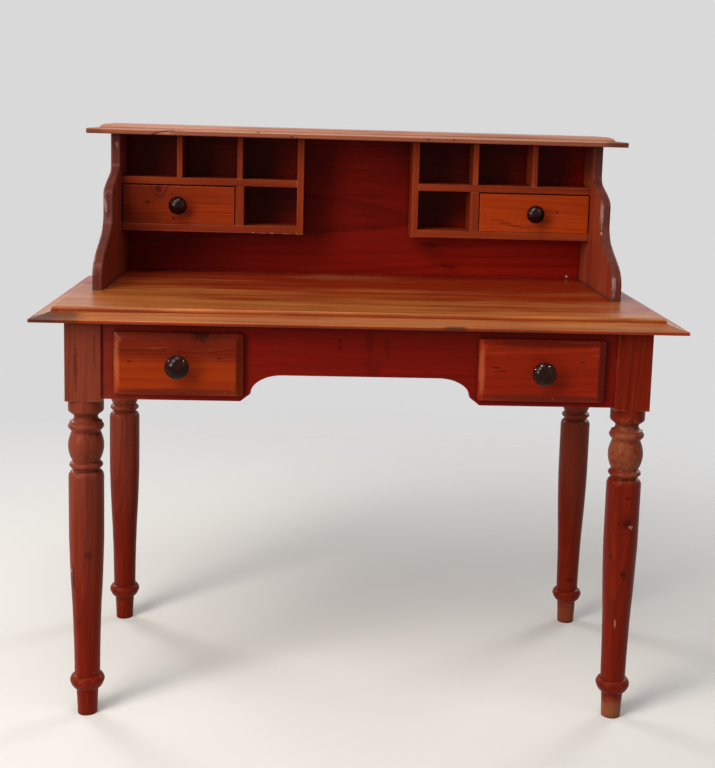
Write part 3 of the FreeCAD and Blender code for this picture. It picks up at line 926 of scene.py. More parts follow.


# On the tabletop the pale edge wear is also a painted highlight on the arrises, and the strong corner
# darkening paints the shadow line under the moulding's step.
TOP_PINE = PineFinish(
    "tabletop_pine", Stain("983210", "84240c", "601207", "541007"), knot="2c0d07", worn="cf9a6c",
    faded=Stain("bd773a", "a35925", "742d0e", "601d0b"), ring_share=0.5, streak_share=0.55, gloss=0.3,
    specular=0.2, coat=0.08, wear=0.8, wear_share=0.2, wear_width=0.004, dirt_and_shade_share=0.9)
LEG_PINE = PineFinish(
    "leg_pine", Stain("7a200c", "6c1809", "500f06", "470d06"), knot="250906", worn="92603f",
    faded=Stain("7e3a28", "702f20", "562013", "49160e"), ring_share=0.5, specular=0.08,
    reflection="ff9c78", coat=0.03)
APRON_PINE = PineFinish(
    "apron_pine", Stain("72120a", "680e07", "540a05", "480805"), knot="280503", worn="8c4530",
    faded=Stain("78281c", "6c2116", "561510", "4a100b"), ring_share=0.5, streak_share=0.35,
    specular=0.1, reflection="ff9c78", coat=0.03, wear_share=0.4)
HUTCH_PINE = PineFinish(
    "hutch_pine", Stain("923a1a", "802b10", "5c1908", "4a1108"), knot="280a06", worn="b27a54",
    faded=Stain("b07a60", "9a6049", "74402f", "5e2c20"), ring_share=0.5, specular=0.12,
    reflection="ffa684", wear=0.5, wear_share=0.5, wear_width=0.0025)
SIDE_PINE = replace(
    HUTCH_PINE, name="hutch_side_pine", stain=Stain("974228", "86331d", "601e11", "4e1610"),
    faded=Stain("64302a", "562822", "3f1b17", "351512"), worn="56352f", chip="b39c92", wear=0.7,
    wear_share=0.7, wear_width=0.01)
HUTCH_TOP_PINE = replace(
    HUTCH_PINE, name="hutch_top_pine", stain=Stain("925540", "844932", "633020", "54251b"),
    faded=Stain("c08c76", "b07c66", "8e5a48", "7a4434"))
# The back panel's faded colours are lighter ones laid as painted light on its lower right.
BACK_PINE = PineFinish(
    "back_panel_pine", Stain("76120a", "690d07", "480905", "420805"), knot="1c0302", worn="804030",
    faded=Stain("9a1c0f", "8a150b", "600d06", "580c06"), ring_share=0.8, streak_share=0.2,
    specular=0.1, reflection="ff9c78", coat=0.03, knock_share=0.3)
FACE_PINE = PineFinish(
    "drawer_face_pine", Stain("822a0c", "701e08", "430d05", "500f05"), knot="260704", worn="ac6840",
    faded=Stain("a23b0c", "953108", "842507", "701b06"), ring_share=0.95, streak_share=0.15,
    specular=0.12, reflection="ffa684", wear=0.55, wear_share=0.5, wear_width=0.0025)
RED_FACE_PINE = replace(
    FACE_PINE, name="red_drawer_face_pine", stain=Stain("902509", "801a06", "5d1005", "520f05"))
BARE_PINE = PineFinish(
    "bare_pine", Stain("d6b07c", "c79c66", "9a6a3a", "a87844"), knot="5c3a20", worn="dcc096",
    streak_share=0.3, gloss=0.6, reflection="ffffff", coat=0.0, wear=0.2, dirt_and_shade_share=0.3)
KNOB_GLOSS = KnobFinish("knob_gloss")
BRIGHT_STEEL = SteelFinish("bright_steel", bright="b9b6b0", rust="5a3522", rust_share=0.15)
NAIL_STEEL = SteelFinish("nail_steel", bright="3c241c", rust="240f0a", rust_share=0.8)

Pieces = Iterator[Tuple[str, PineFinish, Timber]]


@dataclass(frozen=True)
class Nail:
    """A nail head at one place on a board's front.

    The profile gives the radius and the height of each ring of the head, as shares of its own. The lobes are
    how often, how far and from what turn the rim swells.
    """

    name: str
    at: Point
    body: str
    radius: float
    proud: float
    finish: SteelFinish
    steps: int = 20
    profile: Tuple[Pair, ...] = ((1.0, -0.4), (1.0, 0.55), (0.86, 0.85), (0.55, 0.97), (0.2, 1.0))
    lobes: Point = (3.0, 0.05, 9.0)

    def build(self) -> None:
        """Makes the slightly crowned head with a filed edge, and sets it on its board."""
        shape = bmesh.new()
        rings = [self.ring(shape, share, height) for share, height in self.profile]
        for low, high in zip(rings, rings[1:]):
            for step in range(self.steps):
                after = (step + 1) % self.steps
                shape.faces.new((low[step], low[after], high[after], high[step]))
        shape.faces.new(rings[-1])
        shape.faces.new(list(reversed(rings[0])))
        bmesh.ops.recalc_face_normals(shape, faces=shape.faces)
        mesh = bpy.data.meshes.new(self.name)
        shape.to_mesh(mesh)
        shape.free()
        mesh.shade_smooth()
        nail = bpy.data.objects.new(self.name, mesh)
        nail.location = self.at
        bpy.context.scene.collection.objects.link(nail)
        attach(nail, self.body)
        self.finish.dress(nail)

    def ring(self, shape: bmesh.types.BMesh, share: float, height: float) -> List[bmesh.types.BMVert]:
        """Makes one ring of the head.

        Args:
            shape: The head so far.
            share: The ring's share of the radius.
            height: Its share of the height.

        Returns:
            The ring's corners.
        """
        count, swell, start = self.lobes
        made = []
        for step in range(self.steps):
            turn = math.tau * step / self.steps
            reach = self.radius * share * (1.0 + swell * math.sin(count * turn + start * self.at[0]))
            corner = (reach * math.cos(turn), -self.proud * height, reach * math.sin(turn))
            made.append(shape.verts.new(corner))
        return made


@dataclass
class SubAssembly:
    """Pieces of the desk that are built and dressed together."""

    nails: Tuple[Nail, ...] = ()

    def build(self) -> None:
        """Drives the nails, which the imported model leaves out."""
        for nail in self.nails:
            nail.build()

    def dress(self) -> None:
        """Gives each wooden piece its finish."""
        for name, finish, timber in self.pieces():
            finish.dress(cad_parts[name], timber)

    def pieces(self) -> Pieces:
        """Lists the wooden pieces with their finish and timber."""
        raise NotImplementedError


@dataclass
class Tabletop(SubAssembly):
    """The edge-glued boards of the writing surface, with their moulded edges."""

    ring: float = 0.0055
    hearts: Tuple[Pair, ...] = ((0.09, -0.03), (-0.02, -0.06), (0.05, -0.05), (-0.07, -0.035))
    leans: Tuple[Pair, ...] = ((0.02, 0.012), (-0.015, 0.02), (0.01, -0.02), (0.02, 0.01))
    seeds: Tuple[float, ...] = (3.0, 10.0, 17.0, 24.0)
    blocks: Timber = Timber(Lay.FLAT_BOARD, (0.02, 0.03), ring=0.004, seed=31.0)
    # Only up-facing faces fade, so the upright faces of the moulded edge keep the deep stain, which also
    # stands as painted shade there.
    bleach: Bleach = Bleach((-0.32, -1.0, 0.0), (-0.15, 0.3), 0.7, facing=UP)
    # Edge wear is kept to the front moulding's arrises, where its lighter colour is also a painted highlight.
    rub_and_highlight: Bleach = Bleach((0.0, -1.0, 0.0), (0.25, 0.258), 0.0)
    front_marks: Marks = (
        Mark(DARK, (-0.545, -0.275, 0.752), (0.07, 0.05, 0.02), 0.8, 0.4),
        Mark(DARK, (-0.575, -0.283, 0.752), (0.05, 0.04, 0.02), 0.7, 0.4),
        # Painted shade on the lower part of the front rim's upright face.
        Mark(DARK, (0.0, -0.290, 0.7435), (0.75, 0.005, 0.0055), 0.75, 0.25),
        # A faint painted shade over the front moulding.
        Mark(DARK, (0.0, -0.280, 0.757), (0.75, 0.02, 0.012), 0.12, 0.3),
        Mark(GOUGE, (0.163, -0.29, 0.750), (0.028, 0.012, 0.009), 0.9, 0.5),
    )
    # A painted patch of light on the middle of the tabletop's rear, laid as a faint worn mark.
    rear_painted_light: Marks = (Mark(WORN, (-0.03, 0.235, 0.77), (0.15, 0.05, 0.02), 0.14, 1.0),)

    def pieces(self) -> Pieces:
        """Lists the boards, each with a grain of its own, and the blocks that hold them down.

        Yields:
            Each piece's node, finish and timber.
        """
        marks = (self.front_marks, (), (), self.rear_painted_light)
        for number, heart in enumerate(self.hearts):
            yield f"top_board_{number + 1}", TOP_PINE, Timber(
                Lay.FLAT_BOARD, heart, self.ring, self.seeds[number], self.leans[number],
                bleach=self.bleach, rub_and_highlight=self.rub_and_highlight, marks=marks[number])
        yield "top_fixing_blocks", BARE_PINE, self.blocks

    def dress(self) -> None:
        """Dresses the boards, the blocks and their screws."""
        super().dress()
        BRIGHT_STEEL.dress(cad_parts["top_screws"])


@dataclass
class TableFrame(SubAssembly):
    """The four turned legs and the aprons between them, with the runners that carry the drawers."""

    ring: float = 0.0042
    leg_heart: Pair = (0.03, 0.045)
    leg_lean: Pair = (0.02, 0.01)
    runner_heart: Pair = (0.02, 0.03)
    apron_heart: Pair = (0.02, 0.1)
    apron_lean: Pair = (0.03, 0.01)
    apron_ring: float = 0.008
    front_figure: float = 0.4
    side_figure: float = 0.5
    # The legs' upper parts turn greyer, partly dust and partly a painted sheen.
    dust_and_sheen: Bleach = Bleach((0.0, 0.0, 1.0), (0.2, 0.5), 0.35)
    # The aprons turn paler towards their left ends, as a painted sheen.
    left_end_sheen: Bleach = Bleach((-1.0, 0.0, 0.0), (0.3, 0.48), 0.3)
    apron_marks: Marks = (
        Mark(DARK, (-0.040, -0.2586, 0.718), (0.004, 0.01, 0.006), 0.7),
        Mark(DARK, (-0.0388, -0.2586, 0.7056), (0.004, 0.01, 0.005), 0.7),
        Mark(DARK, (0.0147, -0.2586, 0.714), (0.012, 0.02, 0.03), 0.4, 0.8),
        Mark(DARK, (0.0453, -0.2586, 0.709), (0.009, 0.02, 0.028), 0.35, 0.8),
        Mark(DARK, (0.0214, -0.2586, 0.6667), (0.02, 0.02, 0.028), 0.3, 0.9),
    )
    front_left_marks: Marks = (
        Mark(DARK, (-0.5147, -0.255, 0.268), (0.0035, 0.02, 0.034), 0.8),
        Mark(GOUGE, (-0.486, -0.26, 0.314), (0.008, 0.02, 0.012), 0.5, 1.0),
        Mark(CHIP, (-0.520, -0.25, 0.2795), (0.0025, 0.02, 0.005), 0.8),
        Mark(DARK, (-0.507, -0.262, 0.665), (0.004, 0.02, 0.05), 0.55, 0.7),
        Mark(DARK, (-0.474, -0.262, 0.69), (0.003, 0.02, 0.04), 0.45, 0.7),
    )
    front_right_marks: Marks = (
        Mark(DARK, (0.498, -0.255, 0.579), (0.0035, 0.02, 0.012), 0.9),
        Mark(DARK, (0.510, -0.255, 0.4706), (0.008, 0.02, 0.005), 0.9),
        Mark(KNOT, (0.498, -0.262, 0.387), (0.011, 0.02, 0.011), 0.75, 1.0),
        Mark(CHIP, (0.505, -0.262, 0.380), (0.006, 0.02, 0.004), 0.6, 0.9),
        Mark(GOUGE, (0.4966, -0.262, 0.288), (0.007, 0.02, 0.012), 0.75, 1.0),
        Mark(GOUGE, (0.498, -0.262, 0.4355), (0.007, 0.02, 0.005), 0.7, 1.0),
        Mark(CHIP, (0.487, -0.258, 0.191), (0.002, 0.02, 0.011), 0.6),
        Mark(WORN, (0.4945, -0.231, 0.523), (0.07, 0.07, 0.062), 0.42, 0.8),
        Mark(WORN, (0.4945, -0.231, 0.008), (0.07, 0.07, 0.034), 0.54, 0.5),
    )
    back_right_marks: Marks = (
        Mark(GOUGE, (0.494, 0.213, 0.1025), (0.009, 0.03, 0.007), 0.7, 1.0),
        Mark(WORN, (0.4945, 0.239, 0.012), (0.07, 0.07, 0.042), 0.3, 0.5),
    )

    def pieces(self) -> Pieces:
        """Lists the stained legs and aprons and the bare runners and kickers.

        Yields:
            Each piece's node, finish and timber.
        """
        for name, seed, tone, bleach, marks in (
                ("leg_front_left", 40.0, 0.0, self.dust_and_sheen, self.front_left_marks),
                ("leg_front_right", 45.0, -0.08, None, self.front_right_marks),
                ("leg_back_left", 50.0, -0.2, self.dust_and_sheen, ()),
                ("leg_back_right", 55.0, -0.2, self.dust_and_sheen, self.back_right_marks)):
            yield name, LEG_PINE, Timber(
                Lay.POST, self.leg_heart, self.ring, seed, self.leg_lean, tone=tone, bleach=bleach,
                marks=marks)
        for name, seed, marks in (("front_apron", 60.0, self.apron_marks), ("back_apron", 65.0, ())):
            yield name, APRON_PINE, Timber(
                Lay.FACE_BOARD, self.apron_heart, self.apron_ring, seed, self.apron_lean,
                figure=self.front_figure, bleach=self.left_end_sheen, marks=marks)
        for name, seed in (("left_apron", 74.0), ("right_apron", 75.0)):
            yield name, APRON_PINE, Timber(
                Lay.DEEP_BOARD, self.apron_heart, self.apron_ring, seed, figure=self.side_figure)
        for name, seed in (("left_runner_inner", 79.0), ("left_runner_outer", 82.0),
                           ("right_runner_inner", 80.0), ("right_runner_outer", 83.0),
                           ("drawer_kickers", 79.0)):
            yield name, BARE_PINE, Timber(Lay.DEEP_BOARD, self.runner_heart, self.ring, seed)


@dataclass
class Hutch(SubAssembly):
    """The scrolled sides, back panel and moulded top of the hutch, and its pigeonholes."""

    nails: Tuple[Nail, ...] = (
        Nail("back_panel_nail", (0.4707, 0.29395, 0.7755), "desk", 0.0028, 0.0012, BRIGHT_STEEL),
    )
    ring: float = 0.005
    top: Timber = Timber(Lay.FLAT_BOARD, (0.05, -0.04), ring=0.005, seed=81.0)
    back: Timber = Timber(
        Lay.FACE_BOARD, (-0.02, 0.05), ring=0.016, seed=83.0, lean=(0.01, 0.05), wander=0.07, figure=0.7)
    dowels: Timber = Timber(Lay.POST, (0.02, 0.03), ring=0.003, seed=118.0)
    side_heart: Pair = (0.04, 0.05)
    side_seed: float = 85.0
    unit_heart: Pair = (0.03, 0.05)
    figure: float = 0.6
    left_tone: float = -0.22
    unit_boards: Tuple[Tuple[str, Lay, float], ...] = (
        ("floor", Lay.FLAT_BOARD, 90.0),
        ("shelf", Lay.FLAT_BOARD, 91.0),
        ("upright", Lay.UPRIGHT_BOARD, 93.0),
        ("lower_divider", Lay.UPRIGHT_BOARD, 94.0),
        ("inner_divider", Lay.UPRIGHT_BOARD, 95.0),
        ("outer_divider", Lay.UPRIGHT_BOARD, 96.0),
    )
    unit_step: float = 10.0
    # The up-facing faces, the moulded slope at the front most of all, fade to pale colours that are partly a
    # painted sheen.
    top_fading_and_sheen: Bleach = Bleach((-0.4, -1.0, 0.0), (-0.75, -0.1), 0.5, facing=UP)
    # The upper front edges of the sides turn greyish, partly rubbed and partly a painted sheen.
    side_fading_and_sheen: Bleach = Bleach((0.0, 0.0, 1.0), (0.45, 0.9), 0.5, facing=FRONT)
    # Painted light: the lower right of the back panel, under the right pigeonholes, is laid in the lighter
    # faded colours.
    back_painted_light: Bleach = Bleach((1.0, 0.0, -0.6), (-0.42, -0.2), 0.3, facing=FRONT)
    top_marks: Marks = (
        Mark(CHIP, (-0.398, 0.156, 1.0700), (0.018, 0.012, 0.0036), 0.35, 0.6),
        Mark(GOUGE, (-0.423, 0.156, 1.0675), (0.006, 0.012, 0.0019), 1.0, 0.15),
        Mark(GOUGE, (-0.416, 0.156, 1.0702), (0.006, 0.012, 0.0018), 1.0, 0.15),
        Mark(GOUGE, (-0.408, 0.156, 1.0726), (0.007, 0.012, 0.0018), 1.0, 0.15),
        Mark(GOUGE, (-0.398, 0.156, 1.0746), (0.008, 0.012, 0.0018), 1.0, 0.15),
        Mark(GOUGE, (-0.386, 0.156, 1.0762), (0.010, 0.012, 0.0018), 1.0, 0.15),
        Mark(GOUGE, (-0.370, 0.156, 1.0772), (0.014, 0.012, 0.0016), 0.9, 0.25),
        Mark(DARK, (0.548, 0.160, 1.073), (0.042, 0.03, 0.02), 0.65, 0.5),
        Mark(DARK, (-0.552, 0.160, 1.073), (0.036, 0.03, 0.02), 0.4, 0.6),
        Mark(DARK, (-0.210, 0.162, 1.078), (0.006, 0.02, 0.004), 0.9),
        Mark(DARK, (-0.140, 0.156, 1.069), (0.004, 0.01, 0.003), 0.9),
        Mark(DARK, (-0.130, 0.156, 1.0655), (0.004, 0.01, 0.003), 0.8),
        Mark(DARK, (-0.1155, 0.156, 1.066), (0.004, 0.01, 0.003), 0.9),
        Mark(DARK, (0.194, 0.156, 1.072), (0.004, 0.01, 0.003), 0.8),
    )
    back_marks: Marks = (
        Mark(DARK, (0.022, 0.294, 0.943), (0.06, 0.02, 0.007), 0.35, 0.9),
        Mark(DARK, (0.022, 0.294, 0.900), (0.05, 0.02, 0.006), 0.35, 0.9),
        Mark(DARK, (0.022, 0.294, 0.876), (0.06, 0.02, 0.006), 0.3, 0.9),
        Mark(KNOT, (0.166, 0.294, 0.8395), (0.024, 0.02, 0.008), 0.5, 0.9),
        Mark(KNOT, (0.207, 0.294, 0.792), (0.022, 0.02, 0.007), 0.5, 0.9),
        # Painted shade behind the upper and the lower pigeonholes.
        *(Mark(DARK, (0.31 * side, 0.294, 1.022), (0.27, 0.01, 0.085), 0.75, 0.3) for _, side in HANDS),
        *(Mark(DARK, (0.184 * side, 0.294, 0.921), (0.085, 0.01, 0.07), 0.85, 0.3) for _, side in HANDS),
    )
    side_marks: Dict[str, Marks] = field(default_factory=lambda: {
        "left": (
            Mark(CHIP, (-0.512, 0.094, 0.925), (0.004, 0.012, 0.024), 0.5, 1.0),
            Mark(CHIP, (-0.503, 0.193, 1.041), (0.004, 0.010, 0.010), 0.35, 1.3),
            Mark(CHIP, (-0.514, -0.020, 0.815), (0.004, 0.020, 0.030), 0.4, 0.9),
        ),
        "right": (
            Mark(CHIP, (0.498, 0.096, 0.930), (0.005, 0.012, 0.030), 0.5, 0.8),
            Mark(CHIP, (0.497, 0.085, 0.893), (0.003, 0.012, 0.007), 0.9, 0.6),
            Mark(CHIP, (0.500, -0.037, 0.800), (0.005, 0.010, 0.034), 0.42, 0.9),
            # Painted shade on the top of the right side's inner face, under the hutch top.
            Mark(DARK, (0.496, 0.250, 1.035), (0.008, 0.07, 0.05), 0.6, 0.4),
        ),
    })
    floor_chips: Marks = (
        Mark(CHIP, (-0.220, 0.210, 0.8643), (0.004, 0.006, 0.0020), 0.6, 1.0),
        Mark(CHIP, (-0.199, 0.210, 0.8640), (0.008, 0.006, 0.0016), 0.5, 1.0),
        Mark(CHIP, (-0.181, 0.210, 0.8644), (0.005, 0.006, 0.0022), 0.65, 1.0),
        Mark(CHIP, (-0.150, 0.210, 0.8641), (0.012, 0.006, 0.0016), 0.5, 1.0),
    )

    def pieces(self) -> Pieces:
        """Lists the hutch's stained boards and its bare dowels.

        Yields:
            Each piece's node, finish and timber.
        """
        yield "hutch_top", HUTCH_TOP_PINE, replace(self.top, bleach=self.top_fading_and_sheen, marks=self.top_marks)
        yield "hutch_back", BACK_PINE, replace(self.back, bleach=self.back_painted_light, marks=self.back_marks)
        for number, (hand, side) in enumerate(HANDS):
            across, through = self.side_heart
            yield f"hutch_side_{hand}", SIDE_PINE, Timber(
                Lay.UPRIGHT_BOARD, (across, through * side), self.ring, self.side_seed + number,
                figure=self.figure, bleach=self.side_fading_and_sheen, marks=self.side_marks[hand])
            for board, lay, seed in self.unit_boards:
                yield f"{hand}_unit_{board}", HUTCH_PINE, Timber(
                    lay, self.unit_heart, self.ring, seed + self.unit_step * number, figure=self.figure,
                    tone=self.left_tone if hand == "left" else 0.0,
                    marks=self.floor_chips if (hand, board) == ("left", "floor") else ())
        yield "hutch_dowels", BARE_PINE, self.dowels


@dataclass
class Drawers(SubAssembly):
    """The two main drawers and the two small ones."""

    nails: Tuple[Nail, ...] = tuple(
        Nail(f"{drawer}_nail{place}", (x, 0.20995, z), drawer, radius, 0.0003, NAIL_STEEL)
        for drawer, place, x, z, radius in (
            ("left_small_drawer", "_inner", -0.2793, 0.9514, 0.002),
            ("left_small_drawer", "_outer", -0.4910, 0.8916, 0.002),
            ("right_small_drawer", "", 0.2740, 0.9135, 0.0018)))
    box_heart: Pair = (-0.05, 0.03)
    box_ring: float = 0.005
    box_boards: Tuple[Tuple[str, Lay, float], ...] = (
        ("left_side", Lay.DEEP_BOARD, 140.0),
        ("right_side", Lay.DEEP_BOARD, 141.0),
        ("back", Lay.FACE_BOARD, 143.0),
        ("bottom", Lay.FLAT_BOARD, 144.0),
    )
    box_step: float = 5.0
    knob_step: float = 11.0
    bevel: float = 0.012
    bevel_part: float = 0.8
    bevel_reach: float = 0.16
    bevel_shade: float = 1.0
    low_bevel_shade: float = 0.7
    bevel_ragged: float = 0.2
    faces: Tuple[Tuple[str, PineFinish, Timber], ...] = (
        ("left_drawer", FACE_PINE, Timber(
            Lay.FACE_BOARD, (-0.040, 0.040), 0.0058, 120.0, (0.02, 0.01), wander=0.01, figure=1.2,
            tone=-0.3, bleach=Bleach((0.0, 0.0, -1.0), (-0.695, -0.665), 0.25), marks=(
                Mark(KNOT, (-0.2868, -0.274, 0.7250), (0.022, 0.02, 0.014), 1.0, 0.9),
                # The left bevel faces the light: rubbed paler, and also a painted highlight.
                Mark(WORN, (-0.4335, -0.268, 0.6725), (0.0065, 0.012, 0.06), 0.35, 0.5),
                Mark(DARK, (-0.4103, -0.274, 0.6767), (0.006, 0.01, 0.0025), 0.7),
                Mark(DARK, (-0.253, -0.274, 0.6849), (0.006, 0.01, 0.0025), 0.7),
            ))),
        ("right_drawer", RED_FACE_PINE, Timber(
            Lay.FACE_BOARD, (0.01, 0.03), 0.011, 123.0, (0.05, 0.0), figure=0.35, marks=(
                # The left bevel faces the light: rubbed paler, and also a painted highlight.
                Mark(WORN, (0.2165, -0.268, 0.6725), (0.0065, 0.012, 0.06), 0.35, 0.5),
                Mark(DARK, (0.241, -0.274, 0.6778), (0.009, 0.01, 0.0022), 0.9),
                Mark(DARK, (0.2521, -0.274, 0.6718), (0.014, 0.01, 0.0017), 0.8),
                Mark(DARK, (0.3977, -0.274, 0.6905), (0.007, 0.01, 0.002), 0.7),
            ))),
        ("left_small_drawer", FACE_PINE, Timber(
            Lay.FACE_BOARD, (0.02, 0.03), 0.006, 126.0, (0.06, 0.0), wander=0.03, figure=0.8,
            tone=-0.18, bleach=Bleach((1.0, 0.0, 0.2), (-0.40, 0.10), 0.5), marks=(
                Mark(KNOT, (-0.4186, 0.21, 0.951), (0.011, 0.01, 0.010), 0.8),
                Mark(KNOT, (-0.4415, 0.21, 0.923), (0.005, 0.01, 0.004), 1.0),
                Mark(DARK, (-0.387, 0.21, 0.892), (0.005, 0.01, 0.004), 0.8),
                Mark(DARK, (-0.315, 0.21, 0.926), (0.035, 0.01, 0.0022), 0.4, 0.6),
                Mark(DARK, (-0.489, 0.21, 0.90), (0.02, 0.01, 0.03), 0.35, 0.8),
            ))),
        ("right_small_drawer", FACE_PINE, Timber(
            Lay.FACE_BOARD, (0.016, 0.016), 0.0065, 129.0, (-0.05, 0.0), wander=0.006, figure=0.6,
            bleach=Bleach((0.0, 0.0, 1.0), (0.80, 0.86), 0.2), marks=(
                Mark(DARK, (0.296, 0.21, 0.9045), (0.022, 0.01, 0.0024), 0.45, 0.4),
                Mark(DARK, (0.316, 0.21, 0.8985), (0.018, 0.01, 0.0036), 0.5, 0.4),
                Mark(DARK, (0.336, 0.21, 0.8925), (0.020, 0.01, 0.0034), 0.5, 0.4),
                Mark(DARK, (0.360, 0.21, 0.8885), (0.026, 0.01, 0.0030), 0.45, 0.4),
                Mark(DARK, (0.292, 0.21, 0.8900), (0.018, 0.01, 0.0022), 0.25, 0.4),
            ))),
    )

    def bevel_painted_shade(self, name: str) -> Marks:
        """Paints shade on the bevels of a main drawer's face that turn from the light, all but the left one.

        Args:
            name: The face's node.

        Returns:
            Marks on the right, upper and lower bevel.
        """
        low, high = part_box(name)
        middle = [(a + b) / 2 for a, b in zip(low, high)]
        inset = self.bevel / 2
        wide = (self.bevel_reach, self.bevel, self.bevel_part * self.bevel)
        tall = (self.bevel_part * self.bevel, self.bevel, self.bevel_reach)
        return tuple(Mark(STAINED, (x, low[1], z), size, shade, self.bevel_ragged) for x, z, size, shade in (
            (high[0] - inset, middle[2], tall, self.bevel_shade),
            (middle[0], high[2] - inset, wide, self.bevel_shade),
            (middle[0], low[2] + inset, wide, self.low_bevel_shade * self.bevel_shade)))

    def pieces(self) -> Pieces:
        """Lists the stained faces and the bare boards of the boxes behind them.

        Yields:
            Each piece's node, finish and timber.
        """
        for number, (drawer, finish, timber) in enumerate(self.faces):
            face = f"{drawer}_front"
            shade = () if "small" in drawer else self.bevel_painted_shade(face)
            yield face, finish, replace(timber, marks=shade + timber.marks)
            for board, lay, seed in self.box_boards:
                yield f"{drawer}_{board}", BARE_PINE, Timber(
                    lay, self.box_heart, self.box_ring, seed + self.box_step * number)

    def dress(self) -> None:
        """Dresses the faces and boxes, and blackens the knobs."""
        super().dress()
        for number, (drawer, _, _) in enumerate(self.faces):
            KNOB_GLOSS.dress(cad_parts[f"{drawer}_knob"], self.knob_step * number)


@dataclass(frozen=True)
class Lamp:
    """A soft round lamp, or a small pane that shows only in reflections."""

    name: str
    at: Point
    aim: Point
    size: float
    power: float
    tint: str = "ffffff"
    glint: bool = False

    def build(self) -> None:
        """Hangs the lamp and turns it to its aim."""
        data = bpy.data.lights.new(self.name, "AREA")
        data.shape = "DISK"
        data.size = self.size
        data.energy = self.power
        data.color = paint(self.tint)[:3]
        lamp = bpy.data.objects.new(self.name, data)
        lamp.location = self.at
        lamp.visible_diffuse = not self.glint
        lamp.rotation_euler = (Vector(self.aim) - Vector(self.at)).to_track_quat("-Z", "Y").to_euler()
        bpy.context.scene.collection.objects.link(lamp)


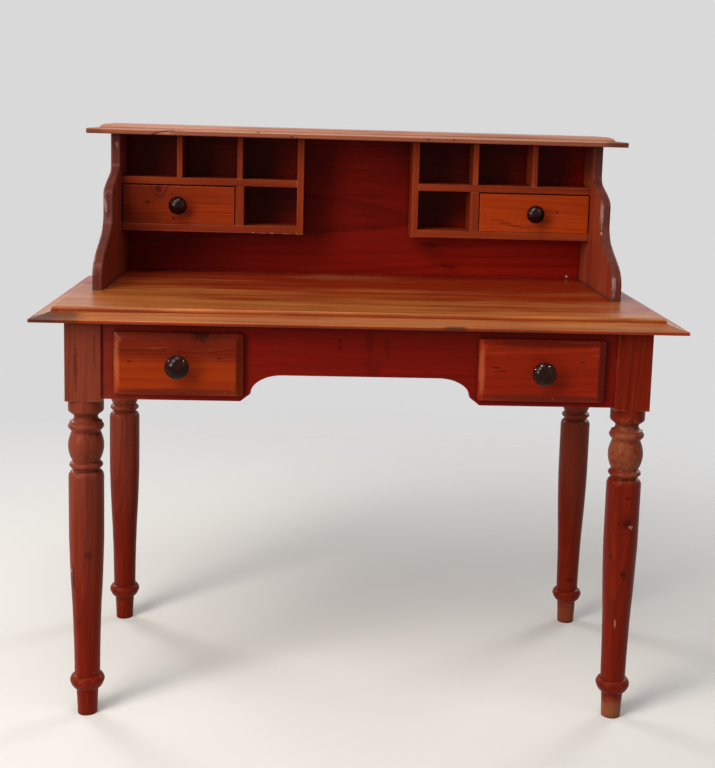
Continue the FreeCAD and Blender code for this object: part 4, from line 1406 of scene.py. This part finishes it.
@dataclass
class Studio:
    """The floor, the light and the camera."""

    floor_radius: float = 7.0
    floor_steps: int = 96
    floor_colour: str = "dcdad6"
    floor_roughness: float = 0.9
    floor_specular: float = 0.2
    fade: Pair = (2.6, 0.9)
    backdrop_colour: str = "dad9da"
    sky_colour: str = "f2f3f6"
    sky_strength: float = 0.3
    lamps: Tuple[Lamp, ...] = (
        Lamp("high_lamp", (-1.9, -2.3, 3.2), (0.0, 0.0, 0.6), 1.8, 85.0, "fffaf2"),
        Lamp("low_lamp", (-3.1, -2.9, 1.6), (0.0, 0.0, 0.7), 1.6, 95.0, "fffaf2"),
        Lamp("back_left_lamp", (-2.4, 2.3, 2.0), (0.0, 0.0, 0.6), 1.3, 42.0),
        Lamp("back_right_lamp", (2.5, 2.3, 2.0), (0.0, 0.0, 0.6), 1.3, 34.0),
        Lamp("fill_lamp", (2.6, -2.2, 1.8), (0.0, 0.0, 0.6), 2.0, 7.0, "f2f6ff"),
        Lamp("top_lamp", (-0.3, -1.1, 3.4), (0.0, -0.2, 0.7), 1.4, 25.0),
        Lamp("left_pane", (-2.6, -0.5, 1.9), (0.0, -0.2, 0.7), 0.12, 30.0, glint=True),
        Lamp("middle_pane", (-0.7, -1.2, 3.4), (0.0, -0.2, 0.7), 0.12, 30.0, glint=True),
        Lamp("right_pane", (1.8, -1.0, 2.6), (0.0, -0.2, 0.7), 0.12, 22.0, glint=True),
    )
    camera_at: Point = (-0.08138, -2.56472, 1.12369)
    pitch: float = -8.57
    yaw: float = 2.85
    roll: float = 1.64
    lens: float = 61.35
    sensor: float = 36.0
    shift: Pair = (-0.0312, -0.0962)

    def build(self) -> None:
        """Makes the floor, the lamps, the world and the camera."""
        self.build_floor()
        for lamp in self.lamps:
            lamp.build()
        self.build_world()
        self.build_camera()

    def build_floor(self) -> None:
        """Makes a pale round floor that fades into the background."""
        mesh = bpy.data.meshes.new("floor")
        shape = bmesh.new()
        bmesh.ops.create_circle(shape, cap_ends=True, segments=self.floor_steps, radius=self.floor_radius)
        shape.to_mesh(mesh)
        shape.free()
        floor = bpy.data.objects.new("floor", mesh)
        bpy.context.scene.collection.objects.link(floor)
        material, graph = new_material("pale_floor")
        distance = graph.vector("LENGTH", graph.add("TexCoord").outputs["Object"])
        graph.surface({
            "Base Color": paint(self.floor_colour),
            "Roughness": self.floor_roughness,
            "Specular IOR Level": self.floor_specular,
            "Alpha": graph.ease(distance, *self.fade),
        })
        mesh.materials.append(material)
        floor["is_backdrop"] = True

    def build_world(self) -> None:
        """Lights the scene softly from all round, before a pale background."""
        world = bpy.data.worlds.new("studio")
        bpy.context.scene.world = world
        world.use_nodes = True
        world.node_tree.nodes.clear()
        graph = Graph(world.node_tree)
        path = graph.add("LightPath").outputs
        seen = graph.plus(path["Is Camera Ray"], path["Is Glossy Ray"])
        seen = graph.math("ADD", seen, path["Is Transmission Ray"], clamp=True)
        light = graph.add("Background", {"Color": paint(self.sky_colour), "Strength": self.sky_strength})
        view = graph.add("Background", {"Color": paint(self.backdrop_colour)})
        both = graph.add("MixShader", {0: seen, 1: light.outputs[0], 2: view.outputs[0]})
        graph.add("OutputWorld", {"Surface": both.outputs[0]})

    def build_camera(self) -> None:
        """Sets the camera where the photograph was taken from."""
        pitch, yaw, roll = (math.radians(angle) for angle in (self.pitch, self.yaw, self.roll))
        ahead = Vector((math.sin(yaw) * math.cos(pitch), math.cos(yaw) * math.cos(pitch), math.sin(pitch)))
        level = ahead.cross(Vector(UP)).normalized()
        above = level.cross(ahead)
        right = level * math.cos(roll) + above * math.sin(roll)
        up = above * math.cos(roll) - level * math.sin(roll)
        turn = Matrix((right, up, -ahead)).transposed().to_4x4()
        data = bpy.data.cameras.new("camera")
        data.sensor_fit = "AUTO"
        data.sensor_width = self.sensor
        data.lens = self.lens
        data.shift_x, data.shift_y = self.shift
        camera = bpy.data.objects.new("camera", data)
        camera.matrix_world = Matrix.Translation(self.camera_at) @ turn
        bpy.context.scene.collection.objects.link(camera)
        bpy.context.scene.camera = camera


def write_sizes() -> None:
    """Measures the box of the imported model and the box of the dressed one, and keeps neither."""
    boxes = {"cad": cad_box, "visual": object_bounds()}
    {name: [list(corner) for corner in box] for name, box in boxes.items()}


def main() -> None:
    """Dresses the desk piece by piece and sets up the studio."""
    logging.basicConfig(level=logging.INFO, format="%(name)s %(message)s")
    bpy.context.scene.view_settings.view_transform = "Standard"
    for part in (Tabletop(), TableFrame(), Hutch(), Drawers()):
        part.build()
        part.dress()
    Studio().build()
    write_sizes()


if __name__ == "__main__":
    main()
